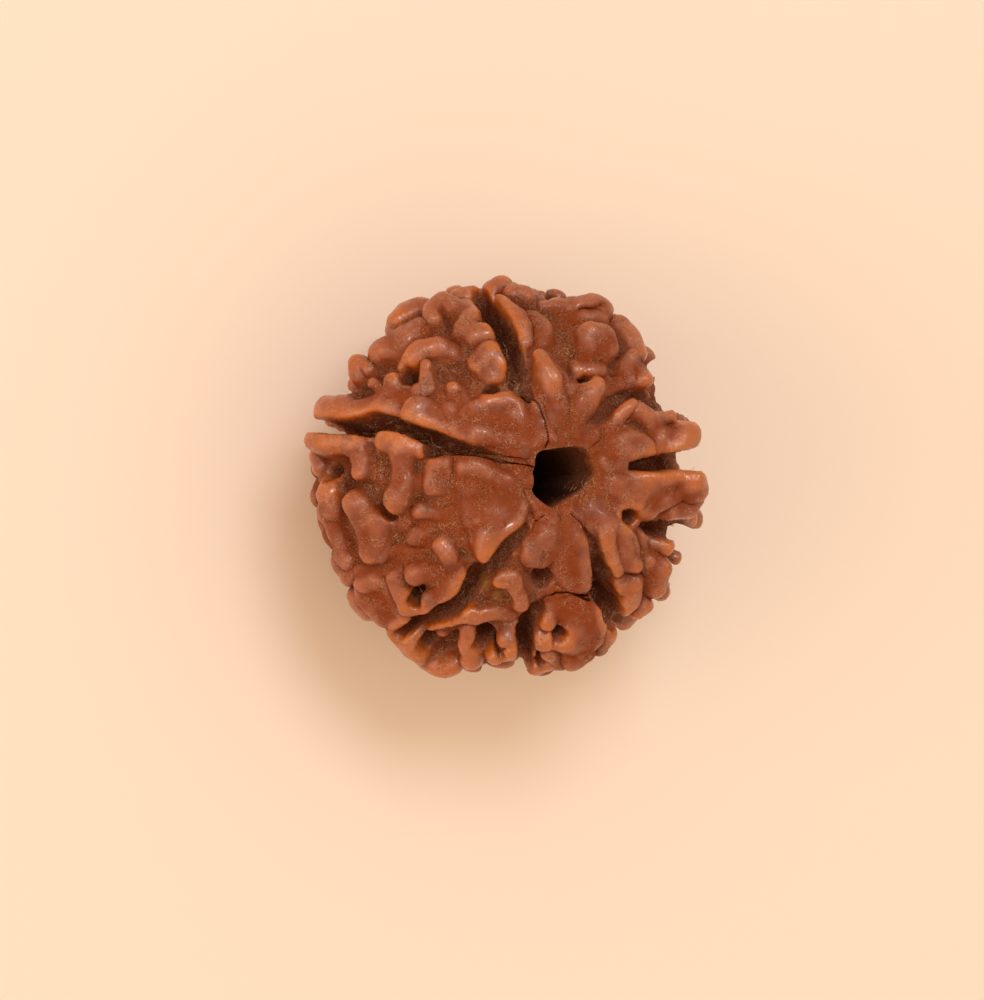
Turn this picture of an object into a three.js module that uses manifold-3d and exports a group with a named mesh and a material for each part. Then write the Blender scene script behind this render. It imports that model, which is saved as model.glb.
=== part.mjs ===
// Rudraksha seed: the dried, bored stone of a rudraksha fruit, with a hole along its axis.
// Millimetres, +Z up along the bore. The seed stands on the crests round its lower pole.

import * as THREE from 'three';
import { mergeVertices } from 'three/addons/utils/BufferGeometryUtils.js';
import Module from 'manifold-3d';

const { clamp, degToRad, lerp, smoothstep } = THREE.MathUtils;

// Driving dimensions. The valley floors lie on an ellipsoid. Crests and plates stand on it, with
// a broad low mass under them where they crowd together.
const FLOOR_RADII = new THREE.Vector3(10.8, 10.7, 9.0);
const FLOOR_SWELL = 0.12;          // slow rise and fall of the valley floors
const WALL = 0.72;                 // from a cap's edge down to its base, for a middling crest
const WALL_SPREAD = [0.6, 1.4];    // least and most, as shares of that, for a thin and a wide crest
const SHOULDER = 0.35;             // share of a crest's half-width where its cap starts to fall
const SLIMNESS = 0.68;             // of the crests of the upper side
const SKIRT = 1.6;                 // from a crest's edge down to the floor
const CAP_SHARE = 0.64;            // of a crest's height
const MASS_REACH = 2.6;            // how far from a crest's edge it adds to the mass
const MASS_SHARE = 0.22;           // of a crest's height
const MASS_LIMIT = 0.85;           // height of the mass where many crests crowd together
const LEAST_RISE = 0.05;           // of a crest over the mass
const COLLAR_RISE = 1.1;           // of the floor round the upper mouth of the bore
const COLLAR_EDGES = [2.8, 5.8];   // radii where the collar starts to fall and where it ends
const PIT_LEVEL = 1.4;             // height over the floor at which a pit or a cleft is seen
const PIT_DROP = 0.6;              // of a pit's bottom under the floor, as a share of its depth
const RIM_RISE = 0.42;              // how much higher the crests near the limb are
const PLATE_EDGE = -0.1;           // cap's edge, outside a plate's outline
const PLATE_DIP = 0.7;             // from a plate's edge in to the full depth of its hollow
const FILLET = 0.35;               // rounding where two ridges run together
const CLEFT_LEVEL = -0.35;         // bottom of a cleft, over the floor
const CLEFT_EDGE = 0.3;
const CLEFT_SINK = 0.5;            // how much deeper the deepest clefts are
const MESH_DETAIL = 22;            // 20 x 23 x 23 triangles
const FOOT_LEVEL = -9.65;          // height of the feet over the seed's middle
const MIDDLE_X = -0.28;            // the box's middle, from the middle of the floors
const MIDDLE_Y = 0.02;
const TILT = degToRad(20);

// Bore
const BORE_MOUTH = [
  [-1.8, 1.5], [-0.85, 1.75], [0.5, 1.9], [1.4, 1.8], [1.7, 1.4], [2.2, 0.3],
  [1.5, -0.7], [0, -1.5], [-0.75, -1.95], [-1.7, -1.2], [-2.1, -0.8], [-1.9, 0.9],
];
const BORE_WAIST = 0.82;           // section in the middle, as a share of the mouth
const BORE_STEPS = 6;
const BORE_LENGTH = 24;

// Crests of the upper side, seen square to a line that leans TILT from the bore towards -X.
// Each is a line of points: across, up, half-width of its top, height over the floor.
const CRESTS = {
  aboveLeftCleft: [
    [[-4.9, 3.7, 0.55, 1.7], [-3.0, 3.45, 0.75, 1.5], [-1.2, 3.55, 1.15, 1.5],
     [0.0, 3.6, 1.35, 1.45], [0.5, 3.2, 1.1, 1.3]],
    [[-5.9, 3.75, 0.5, 2.0], [-4.2, 3.25, 0.38, 1.8], [-2.0, 2.7, 0.35, 1.7],
     [0.0, 2.35, 0.32, 1.55], [0.95, 2.3, 0.3, 1.35]],
    [[-0.9, 4.7, 0.5, 1.6], [0.0, 4.9, 0.45, 1.7], [0.5, 4.3, 0.4, 1.6], [0.7, 3.5, 0.4, 1.5]],
    [[-5.7, 4.35, 0.45, 2.1]],
    [[-3.6, 4.0, 0.42, 1.9]],
    [[-3.4, 5.5, 0.2, 1.6], [-3.4, 5.1, 0.25, 1.3]],
    [[-5.15, 7.2, 0.1, 2.2], [-5.0, 6.5, 0.25, 2.1], [-5.1, 5.7, 0.35, 1.8],
     [-5.6, 5.35, 0.35, 1.7]],
    [[-6.5, 6.9, 0.3, 1.9], [-6.0, 7.5, 0.35, 2.0], [-5.3, 8.1, 0.4, 2.0], [-4.4, 8.2, 0.45, 1.9],
     [-3.5, 7.9, 0.4, 1.6]],
    [[-11.9, 4.4, 0.75, 2.5], [-11.0, 4.6, 0.7, 2.4], [-10.0, 4.4, 0.45, 2.1],
     [-9.2, 4.4, 0.55, 2.0], [-8.2, 4.8, 0.8, 2.1],     [-7.6, 5.6, 0.6, 2.1], [-7.5, 6.3, 0.4, 2.2]],
    [[-8.2, 4.6, 0.7, 1.9], [-7.3, 4.7, 0.75, 1.8], [-6.6, 4.8, 0.5, 1.5]],
    [[-8.6, 5.95, 0.25, 1.9], [-8.2, 5.5, 0.3, 1.9]],
    [[-9.45, 6.5, 0.45, 1.9], [-9.3, 7.1, 0.5, 2.0], [-8.8, 6.9, 0.4, 1.8]],
    [[-8.1, 8.05, 0.62, 2.1], [-7.2, 8.35, 0.75, 2.0], [-6.3, 9.0, 0.65, 2.0], [-5.5, 9.5, 0.5, 1.9]],
    [[-7.0, 10.2, 0.6, 2.2], [-6.4, 10.7, 0.75, 2.2], [-5.7, 10.9, 0.5, 2.0]],
    [[-4.7, 10.2, 0.35, 2.2], [-4.75, 10.8, 0.45, 2.3], [-4.1, 11.25, 0.5, 2.3],
     [-3.4, 11.1, 0.5, 2.3], [-2.9, 10.9, 0.4, 2.2]],
    [[-2.7, 11.1, 0.35, 2.1], [-2.35, 10.4, 0.5, 2.2], [-2.55, 9.6, 0.6, 2.1],
     [-2.0, 9.05, 0.5, 2.0], [-1.35, 9.05, 0.35, 1.9]],
    [[-1.75, 7.3, 0.5, 1.8], [-1.0, 8.0, 0.5, 2.2], [-0.4, 7.4, 0.45, 1.9]],
    [[-1.1, 7.0, 0.9, 1.5]],
    [[-3.1, 11.7, 0.4, 2.0], [-2.3, 11.9, 0.5, 2.1], [-1.6, 11.9, 0.45, 2.1]],
    [[-1.1, 12.1, 0.45, 2.0], [-0.2, 12.2, 0.4, 2.0]],
  ],
  topFace: [
    [[-1.0, 11.3, 0.42, 2.2], [-0.1, 10.9, 0.5, 2.2], [0.7, 10.4, 0.45, 2.2], [1.0, 9.6, 0.38, 2.2],
     [1.05, 8.7, 0.35, 2.2]],
    [[1.5, 10.4, 0.6, 2.0], [2.0, 9.6, 0.7, 1.9], [2.0, 8.7, 0.7, 1.8]],
    [[0.4, 11.8, 0.5, 2.1], [1.2, 11.8, 0.6, 2.1]],
    [[2.3, 11.1, 0.4, 1.7], [3.05, 11.2, 0.5, 1.9], [3.9, 10.8, 0.45, 1.8]],
    [[4.6, 10.9, 0.45, 2.1], [5.4, 11.3, 0.6, 2.4], [6.1, 10.9, 0.5, 2.3], [5.9, 10.1, 0.5, 1.9],
     [4.8, 10.2, 0.5, 1.7]],
    [[5.2, 8.4, 0.5, 2.2], [5.5, 9.1, 0.55, 2.4], [6.3, 9.1, 0.55, 2.4], [6.5, 8.4, 0.45, 2.2]],
    [[5.9, 8.5, 0.6, 2.15]],
    [[4.5, 6.95, 0.4, 1.7], [5.3, 7.05, 0.4, 1.9], [5.9, 7.1, 0.3, 1.9]],
    [[7.3, 9.9, 0.55, 2.3], [8.0, 9.1, 0.65, 2.4], [8.5, 8.1, 0.45, 2.3]],
    [[8.1, 7.9, 0.28, 2.2], [7.7, 7.2, 0.38, 2.0], [7.6, 6.4, 0.5, 1.9], [7.1, 6.0, 0.4, 1.5]],
    [[8.15, 7.3, 0.25, 2.0], [8.35, 6.6, 0.3, 1.9]],
    [[8.4, 7.0, 0.45, 1.9], [8.6, 6.2, 0.5, 2.1], [8.4, 5.5, 0.45, 1.9]],
    [[2.0, 7.7, 0.22, 2.35], [2.4, 6.8, 0.3, 2.25], [2.8, 5.9, 0.34, 2.15], [3.1, 5.1, 0.34, 1.9],
     [3.35, 4.3, 0.35, 1.6], [3.4, 3.4, 0.3, 1.2], [3.4, 2.6, 0.3, 0.8]],
    [[5.65, 5.9, 0.3, 2.2], [5.2, 5.2, 0.38, 2.0], [4.7, 4.4, 0.4, 1.7], [4.3, 3.6, 0.35, 1.3],
     [4.1, 2.7, 0.3, 0.8]],
    [[4.0, 5.2, 0.5, 1.25], [4.1, 4.6, 0.5, 1.2], [3.9, 3.8, 0.4, 1.0]],
  ],
  rightFace: [
    [[7.65, 4.55, 0.25, 1.9], [7.2, 4.0, 0.28, 1.8], [6.7, 3.2, 0.28, 1.6], [6.35, 2.5, 0.3, 1.4],
     [5.8, 2.1, 0.35, 1.1]],
    [[6.5, 1.9, 0.35, 1.4], [7.4, 2.2, 0.6, 1.6], [8.3, 2.2, 0.65, 1.8], [8.95, 1.95, 0.4, 1.9]],
    [[7.0, 2.9, 0.4, 1.3], [7.9, 2.7, 0.4, 1.5]],
    [[8.0, 4.25, 0.3, 1.8], [8.8, 3.9, 0.35, 1.9], [9.5, 3.4, 0.4, 1.9]],
    [[10.2, 2.6, 0.8, 2.3], [11.1, 2.5, 0.95, 2.9], [11.7, 2.8, 0.8, 3.0]],
    [[9.5, 3.6, 0.3, 1.8], [10.1, 3.9, 0.3, 1.9], [10.6, 3.5, 0.35, 1.9]],
  ],
  lowerRightFace: [
    [[5.6, -0.1, 0.4, 1.1], [6.5, -0.4, 0.4, 1.3], [7.3, -0.8, 0.45, 1.5], [8.1, -1.0, 0.6, 1.6]],
    [[8.3, -0.1, 0.35, 1.6], [9.2, 0.0, 0.4, 1.9], [10.0, -0.1, 0.38, 2.1]],
    [[8.6, -1.1, 0.9, 1.8], [9.3, -0.9, 0.8, 1.9], [9.0, -1.9, 0.5, 1.8]],
    [[10.0, -1.5, 0.35, 2.0], [10.6, -1.3, 0.35, 2.0]],
    [[10.6, 0.1, 0.6, 2.1], [11.6, -0.1, 0.75, 2.8], [12.0, -0.7, 0.7, 2.8]],
    [[11.9, -1.3, 0.6, 2.2], [11.6, -2.0, 0.5, 2.1], [10.7, -2.2, 0.4, 1.9]],
  ],
  cornerFace: [
    [[5.2, -2.35, 0.3, 1.3], [5.9, -2.7, 0.3, 1.5], [6.3, -3.3, 0.3, 1.7], [6.5, -4.2, 0.33, 1.9],
     [6.7, -5.2, 0.3, 2.0], [6.95, -5.95, 0.22, 2.0]],
    [[6.4, -2.9, 0.3, 1.5], [7.2, -3.6, 0.6, 1.7], [7.4, -4.6, 0.6, 1.8], [7.5, -5.3, 0.5, 1.9],
     [8.05, -5.5, 0.22, 2.0]],
    [[5.2, -1.4, 0.7, 1.0], [6.2, -1.7, 0.5, 1.1]],
    [[9.6, -4.0, 0.4, 1.5], [10.1, -4.2, 0.5, 2.0]],
    [[8.9, -5.4, 0.5, 1.8], [9.6, -5.9, 0.65, 2.2], [9.4, -6.9, 0.5, 2.1]],
    [[7.3, -6.8, 0.6, 1.8], [8.0, -7.1, 0.65, 2.1], [7.9, -7.9, 0.5, 2.1], [7.3, -8.5, 0.45, 2.0]],
    [[8.4, -8.5, 0.3, 2.0], [8.8, -8.0, 0.4, 2.1]],
    [[8.35, -3.2, 0.15, 1.1], [8.4, -4.5, 0.15, 1.2]],
    [[8.8, -3.1, 0.15, 1.1], [8.85, -4.7, 0.15, 1.2]],
  ],
  bottomFace: [
    [[4.05, -2.7, 0.3, 1.2], [4.35, -3.7, 0.3, 1.4], [4.7, -4.8, 0.33, 1.6], [5.0, -6.0, 0.35, 1.8],
     [5.05, -6.8, 0.35, 1.8]],
    [[3.8, -3.6, 0.35, 1.2], [3.9, -4.8, 0.6, 1.4], [4.2, -6.0, 0.9, 1.5], [4.4, -6.6, 0.6, 1.5]],
    [[1.6, -1.0, 0.3, 1.0], [2.3, -1.9, 0.35, 1.1], [2.65, -2.9, 0.32, 1.4], [2.2, -3.9, 0.32, 1.7],
     [1.5, -4.7, 0.35, 1.9]],
    [[1.5, -5.1, 0.45, 1.8], [2.0, -5.1, 0.4, 1.6], [2.4, -4.5, 0.35, 1.4]],
    [[3.6, -8.3, 0.8, 1.7], [4.6, -8.7, 1.2, 1.9], [4.9, -9.9, 1.0, 2.0], [4.6, -10.7, 0.7, 2.0]],
    [[2.9, -8.2, 0.45, 1.7], [2.6, -8.8, 0.35, 1.9], [2.45, -9.3, 0.22, 2.0]],
    [[1.4, -10.1, 0.28, 1.8], [2.2, -10.45, 0.3, 2.0], [3.3, -10.5, 0.4, 2.0], [4.1, -10.6, 0.4, 2.0]],
    [[1.6, -11.9, 0.45, 2.0], [2.6, -12.0, 0.45, 2.1], [3.5, -11.9, 0.45, 2.1],
     [2.7, -11.3, 0.3, 2.1]],
    [[4.2, -11.7, 0.4, 2.5], [5.2, -11.2, 0.35, 2.2]],
    [[6.6, -9.7, 0.35, 2.2], [6.5, -10.3, 0.35, 2.2], [6.0, -10.9, 0.3, 2.1]],
    [[-0.5, -6.5, 0.42, 2.0], [0.3, -6.5, 0.5, 2.1], [0.55, -7.3, 0.42, 2.0], [0.7, -8.1, 0.35, 2.0]],
    [[-5.3, -9.25, 0.35, 2.0], [-4.2, -9.0, 0.4, 2.0], [-2.9, -8.7, 0.55, 2.1],
     [-1.9, -8.9, 0.4, 1.9], [-0.7, -8.5, 0.3, 1.7], [0.2, -8.6, 0.25, 1.5]],
    [[-2.5, -9.6, 0.4, 1.9], [-2.6, -10.6, 0.4, 1.9], [-2.4, -11.7, 0.65, 2.1]],
    [[-7.2, -10.0, 0.75, 2.3], [-6.4, -10.7, 0.75, 2.3], [-5.7, -11.3, 0.6, 2.2]],
    [[-5.2, -11.6, 0.5, 2.1], [-4.3, -11.9, 0.55, 2.1], [-3.5, -12.0, 0.45, 2.1]],
    [[-0.9, -11.2, 0.35, 1.9], [0.1, -11.0, 0.5, 2.0], [0.7, -10.3, 0.35, 1.9],
     [-0.2, -10.2, 0.4, 1.7]],
    [[-4.1, -9.8, 0.15, 1.2], [-3.6, -9.9, 0.1, 1.1]],
  ],
  leftFace: [
    [[-2.65, 0.75, 0.35, 1.8], [-1.4, 0.35, 0.35, 1.6], [-0.2, -0.1, 0.35, 1.4],
     [0.6, -0.4, 0.3, 1.2]],
    [[-0.3, -1.2, 1.1, 1.35], [-0.6, -2.2, 1.3, 1.5], [-1.0, -3.2, 1.0, 1.6], [-1.4, -4.2, 0.5, 1.8],
     [-1.45, -4.8, 0.25, 1.9]],
    [[-2.4, -0.4, 0.6, 1.4], [-2.5, -1.4, 0.6, 1.2], [-2.1, -2.6, 0.6, 1.4]],
    [[-4.5, 0.75, 0.4, 1.8], [-4.6, -0.1, 0.45, 1.9], [-4.7, -0.7, 0.5, 1.9]],
    [[-3.8, 0.5, 0.4, 1.4], [-3.9, -0.6, 0.4, 1.4]],
    [[-5.4, -2.0, 0.25, 1.5], [-4.8, -2.15, 0.28, 1.4], [-4.2, -2.3, 0.3, 1.2]],
    [[-7.75, 2.3, 0.5, 2.2], [-6.9, 2.2, 0.55, 2.2], [-6.1, 2.0, 0.5, 2.1], [-5.6, 1.75, 0.35, 1.9]],
    [[-6.75, 1.6, 0.45, 2.0], [-6.6, 0.6, 0.38, 1.9], [-6.6, -0.3, 0.45, 2.1],
     [-6.95, -1.1, 0.5, 2.2], [-7.1, -1.5, 0.4, 2.1]],
    [[-12.2, 2.4, 0.45, 2.6], [-11.2, 2.2, 0.6, 2.3], [-10.2, 2.3, 0.6, 2.1], [-9.5, 1.8, 0.6, 2.1],
     [-9.25, 1.0, 0.55, 2.2], [-9.25, 0.3, 0.5, 2.2]],
    [[-12.1, 1.3, 0.3, 1.9], [-11.9, 0.6, 0.25, 1.8]],
    [[-11.4, -0.3, 0.5, 1.9], [-11.6, -1.0, 0.65, 2.2], [-11.2, -1.9, 0.5, 1.9]],
    [[-9.55, -1.7, 0.6, 2.3], [-9.2, -2.5, 0.6, 2.1], [-8.7, -3.4, 0.75, 2.0],
     [-8.5, -4.3, 0.65, 2.0], [-8.8, -5.0, 0.4, 2.0]],
    [[-8.0, -3.0, 0.6, 1.6], [-7.8, -4.0, 0.6, 1.5], [-8.0, -5.0, 0.4, 1.8]],
    [[-11.2, -2.7, 0.35, 1.7], [-10.7, -3.9, 0.35, 1.7], [-10.55, -4.9, 0.4, 1.9],
     [-10.1, -5.4, 0.4, 1.8]],
    [[-10.1, -6.35, 0.28, 1.9], [-9.2, -6.1, 0.22, 1.6], [-8.2, -6.1, 0.22, 1.4]],
    [[-9.0, -6.9, 0.3, 2.0], [-8.2, -6.8, 0.3, 1.9]],
    [[-9.6, -7.5, 0.35, 2.0], [-8.9, -8.5, 0.3, 1.8]],
    [[-7.0, -6.55, 0.28, 2.0], [-6.75, -7.3, 0.3, 2.1], [-6.4, -8.1, 0.38, 2.1],
     [-5.4, -8.0, 0.38, 2.1], [-4.4, -7.5, 0.45, 2.1], [-3.6, -6.9, 0.55, 2.1],
     [-3.25, -6.2, 0.45, 1.9], [-3.3, -5.6, 0.35, 1.7]],
    [[-4.6, -6.5, 0.6, 1.9], [-4.0, -6.1, 0.6, 1.8]],
    [[-5.75, -6.25, 0.42, 2.2], [-5.0, -6.1, 0.45, 2.0]],
    [[-4.2, -4.4, 0.32, 2.0], [-3.8, -5.0, 0.38, 2.1], [-3.6, -5.5, 0.33, 1.9]],
    [[-5.55, -3.55, 0.32, 1.2], [-5.2, -3.7, 0.28, 1.1]],
    [[-6.2, -4.7, 0.4, 0.6]],
    [[-4.6, -3.0, 0.5, 0.9], [-3.8, -2.6, 0.6, 1.0]],
    [[-3.6, -3.6, 0.4, 0.8]],
  ],
};

// Plates of the upper side: how hollow, and an outline of points across, up, height.
const PLATES = [
  // Triangle left of the bore
  [0.35, [[-2.8, 0.8, 1.9], [-2.0, 0.65, 1.85], [-1.0, 0.3, 1.7], [0.0, 0.0, 1.5], [0.7, -0.25, 1.3],
          [0.9, -0.9, 1.15], [1.0, -1.6, 1.2], [1.0, -2.3, 1.35], [0.7, -2.8, 1.45], [0.3, -3.3, 1.55],
          [-0.1, -4.0, 1.65], [-0.6, -4.5, 1.75], [-1.1, -4.7, 1.85], [-1.4, -5.0, 1.9], [-1.7, -4.7, 1.8],
          [-2.0, -4.2, 1.4], [-2.3, -3.4, 1.0], [-2.5, -2.6, 0.8], [-2.8, -1.5, 0.8], [-2.9, -0.5, 1.2]]],
  // Wedge above the left cleft
  [0.35, [[-6.0, 3.9, 1.95], [-5.8, 4.4, 1.8], [-4.0, 4.0, 1.5], [-3.3, 4.1, 1.4], [-2.5, 4.0, 1.35],
          [-1.0, 4.8, 1.5], [0.0, 5.0, 1.6], [0.5, 4.6, 1.5], [0.9, 3.8, 1.3], [0.9, 2.7, 1.25],
          [0.7, 2.35, 1.35], [-1.5, 2.6, 1.65], [-3.5, 3.1, 1.85], [-5.0, 3.4, 1.95]]],
  // Two arms above the bore
  [0.75, [[1.9, 7.4, 2.0], [2.3, 7.7, 2.0], [2.6, 7.3, 1.9], [3.0, 6.5, 1.75], [3.6, 5.5, 1.4],
         [4.9, 5.4, 1.5], [5.4, 5.8, 1.8], [5.7, 5.5, 1.75], [5.4, 4.8, 1.55], [4.8, 4.0, 1.3],
         [4.2, 3.3, 1.1], [3.6, 2.9, 1.0], [3.1, 3.0, 1.05], [2.8, 3.8, 1.25], [2.6, 4.8, 1.5],
         [2.2, 6.0, 1.8]]],
  // Below the bore
  [0.3, [[3.8, -2.9, 1.1], [4.15, -3.7, 1.3], [4.6, -4.8, 1.5], [5.0, -6.2, 1.75], [5.05, -6.8, 1.8],
          [4.7, -6.95, 1.7], [4.0, -6.7, 1.5], [3.4, -6.2, 1.35], [3.1, -5.4, 1.25], [3.2, -4.5, 1.2],
          [3.4, -3.5, 1.1]]],
  // Blade above the right cleft
  [0.25, [[6.2, 1.85, 1.2], [6.7, 2.2, 1.35], [7.5, 2.55, 1.5], [8.3, 2.55, 1.7], [8.8, 2.3, 1.85],
         [9.05, 1.95, 1.9], [8.9, 1.7, 1.9], [8.3, 1.6, 1.8], [7.5, 1.6, 1.6], [6.8, 1.55, 1.35]]],
  // Broad face right of the bore
  [0.3, [[5.8, -0.3, 1.05], [7.0, -0.35, 1.25], [8.2, 0.0, 1.55], [9.4, 0.1, 1.85], [10.1, -0.1, 1.95],
          [10.1, -1.1, 1.9], [9.6, -1.8, 1.8], [8.9, -2.3, 1.7], [8.3, -1.9, 1.6], [7.6, -1.3, 1.4],
          [6.6, -0.85, 1.2]]],
  // Claw
  [0.45, [[5.3, -2.3, 1.15], [5.9, -2.55, 1.35], [6.5, -2.8, 1.4], [7.2, -3.1, 1.4], [7.8, -3.7, 1.45],
          [7.9, -4.6, 1.55], [8.05, -5.3, 1.8], [7.4, -5.5, 1.8], [6.95, -5.8, 1.95], [6.6, -5.2, 1.9],
          [6.4, -4.2, 1.85], [6.2, -3.4, 1.65], [5.8, -2.8, 1.4]]],
  // Big lobe at the bottom
  [0.25, [[3.3, -7.7, 1.5], [4.2, -7.6, 1.75], [5.1, -7.8, 1.95], [5.7, -8.6, 2.05], [5.9, -9.5, 2.1],
         [5.7, -10.3, 2.1], [5.1, -10.9, 2.0], [4.3, -10.8, 1.9], [4.0, -10.0, 1.75], [3.9, -9.2, 1.6],
         [3.2, -8.7, 1.4]]],
  // Small plate left of the triangle
  [0.15, [[-4.75, 0.4, 1.85], [-4.3, 0.95, 1.95], [-3.8, 1.0, 1.8], [-3.7, 0.1, 1.45], [-3.8, -1.0, 1.3],
         [-4.9, -0.95, 1.9], [-5.0, -0.6, 1.95]]],
  // Broad plate at the lower left
  [0.25, [[-9.3, -6.7, 1.9], [-8.5, -6.5, 1.9], [-7.6, -6.7, 1.8], [-7.2, -7.4, 1.7], [-6.8, -8.3, 1.8],
          [-6.4, -8.9, 1.9], [-7.2, -9.3, 2.0], [-8.0, -9.2, 2.0], [-8.7, -8.4, 2.0], [-9.3, -7.5, 1.9]]],
  // Leaning plate at the left
  [0.3, [[-9.9, -1.6, 2.2], [-9.4, -1.35, 2.15], [-8.9, -2.0, 2.0], [-8.4, -2.8, 1.7], [-7.6, -3.4, 1.35],
          [-7.5, -4.4, 1.3], [-7.9, -5.1, 1.65], [-8.6, -5.2, 1.9], [-9.0, -4.8, 1.95], [-9.0, -3.8, 2.0],
          [-9.4, -2.8, 2.1]]],
];

// Pits in the upper side: across, up, radius, depth.
const PITS = [
  [-6.0, 6.2, 0.5, 1.2], [4.65, 6.0, 0.32, 1.2], [-0.75, 9.6, 0.35, 1.6],
  [7.6, -2.4, 0.5, 2.2], [10.2, 3.65, 0.4, 0.9], [-10.9, 0.2, 0.4, 0.9], [-5.5, -7.25, 0.45, 1.4],
  [3.1, -9.6, 0.45, 1.5], [2.1, -11.15, 0.35, 1.3], [3.75, -11.7, 0.3, 1.0], [-1.4, -10.15, 0.55, 2.3],
  [-3.75, -10.6, 0.65, 2.4], [-5.0, -10.25, 0.4, 1.8], [-7.4, -2.0, 0.45, 1.3], [6.2, -8.2, 0.6, 1.9],
  [-0.5, -10.5, 0.3, 1.0], [-1.0, 5.5, 0.4, 0.5], [-4.7, 1.6, 0.4, 0.9], [2.3, -6.3, 0.5, 0.7],
];

// Clefts between the faces of the upper side: across, up, half-width, how deep (1 is to the bottom).
const CLEFTS = [
  [[-0.4, 1.15, 0.08, 0.15], [-1.4, 1.3, 0.15, 0.5], [-2.5, 1.6, 0.25, 0.9], [-3.6, 2.0, 0.25, 1.2],
   [-5.0, 2.5, 0.28, 1.3], [-6.4, 3.0, 0.32, 1.35], [-7.8, 3.25, 0.4, 1.4], [-9.2, 3.05, 0.38, 1.4],
   [-10.2, 2.95, 0.32, 1.4], [-11.2, 2.95, 0.3, 1.3], [-12.2, 3.1, 0.3, 1.3]],
  [[1.5, 4.9, 0.1, 0.2], [0.95, 5.7, 0.3, 0.6], [0.55, 6.5, 0.4, 0.9], [0.25, 7.4, 0.42, 1.05],
   [-0.1, 8.4, 0.42, 1.2], [-0.6, 9.4, 0.42, 1.3], [-1.2, 10.3, 0.38, 1.2], [-1.7, 11.2, 0.3, 1.0]],
  [[5.2, 2.9, 0.15, 0.15], [5.7, 3.7, 0.2, 0.25], [6.3, 4.5, 0.25, 0.35], [7.1, 5.0, 0.28, 0.45],
   [7.9, 5.15, 0.28, 0.6], [8.6, 4.95, 0.32, 0.95], [9.3, 4.6, 0.4, 1.3]],
  [[7.6, 0.85, 0.15, 0.4], [8.3, 0.8, 0.3, 0.9], [9.1, 0.85, 0.38, 1.2], [9.8, 1.0, 0.45, 1.5],
   [10.6, 1.0, 0.5, 2.0], [11.6, 1.05, 0.5, 2.0]],
  [[8.6, -3.0, 0.2, 0.4], [9.1, -3.2, 0.3, 0.8], [9.7, -3.3, 0.3, 1.1], [10.4, -3.4, 0.3, 1.2]],
  [[4.7, -3.3, 0.1, 0.15], [5.2, -4.1, 0.25, 0.35], [5.6, -5.0, 0.35, 0.5], [5.8, -6.0, 0.4, 0.8],
   [6.0, -7.0, 0.45, 1.15], [6.15, -7.9, 0.5, 1.4], [6.4, -8.9, 0.35, 1.2]],
  [[1.0, -3.2, 0.12, 0.3], [0.3, -3.9, 0.28, 0.6], [-0.4, -4.8, 0.35, 0.8], [-1.2, -5.6, 0.4, 0.9],
   [-2.0, -6.4, 0.42, 1.0], [-2.6, -7.2, 0.4, 1.1], [-3.3, -7.95, 0.35, 1.15], [-4.5, -8.45, 0.3, 1.2],
   [-5.9, -8.95, 0.25, 1.1], [-6.6, -9.25, 0.2, 0.7]],
  [[2.2, -8.0, 0.2, 0.5], [1.3, -8.8, 0.3, 0.8], [1.0, -9.6, 0.35, 1.0], [1.0, -10.6, 0.35, 1.2],
   [1.0, -11.4, 0.35, 1.3]],
];

// Notches of the outline, seen the same way: angle, half-width, how deep.
const NOTCHES = [
  [22, 0.3, 0.6], [27, 0.45, 1.0], [36, 0.4, 0.9], [56, 0.2, 0.5], [70, 0.2, 0.4], [78.5, 0.3, 0.6],
  [115.5, 0.25, 0.6],
  [131, 0.3, 0.7], [139, 0.35, 0.7], [151, 0.35, 0.9], [-15.5, 0.35, 0.7], [-27.5, 0.35, 0.7],
  [-40, 0.2, 0.5], [-52, 0.4, 1.0], [-84.5, 0.3, 0.8], [-104, 0.2, 0.3], [-145, 0.25, 0.6],
];
const NOTCH_FALL = [3, -8, -19, -30];   // latitudes of a notch's points, from the outline

// The lower side. Its clefts run to the lower pole, each from a bearing and a latitude, in degrees,
// with a half-width there.
const LOWER_CLEFTS = [
  [165, -20, 0.6], [98, -14, 0.35], [28.5, 18, 0.8], [5.5, 20, 0.5],
  [-18.5, 19, 0.6], [-56, 11, 0.5], [-85, 2, 0.35], [-126, -12, 0.45],
];
const LOWER_CLEFT_END = 0.35;      // half-width at the lower pole
const LOWER_CLEFT_DEPTH = 1.15;
const LOWER_CLEFT_GAP = 0.6;       // from the line of a cleft to the nearest crest's edge
const CLEFT_WANDER = 5;            // degrees
const CLEFT_CALM = 16;             // degrees that a cleft runs straight first
const POLE_LATITUDE = -72;
const PETAL_STARTS = 0.34;         // radius of a petal's inner end and outer end, as shares of the floor's
const PETAL_ENDS = 0.6;
const LOWER_SEED = 20261;
const LOWER_TRIES = 5200;
const LOWER_STEP = 0.85;           // between the points of a crest of the lower side
const LOWER_GAP = 0.42;            // least width of a valley of the lower side
const LIMB = 0.02;                 // how far the lower side's pattern reaches over the upper side's edge
const LIMB_DROP = 2.0;             // how fast its crests get lower towards that edge

const SEED_COLOUR = 0xa5603c;

const RIGHT = new THREE.Vector3(Math.cos(TILT), 0, Math.sin(TILT));
const UP = new THREE.Vector3(0, 1, 0);
const TOWARDS = new THREE.Vector3(-Math.sin(TILT), 0, Math.cos(TILT));

function radiiAt(height) {
  return FLOOR_RADII.clone().addScalar(height);
}

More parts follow.
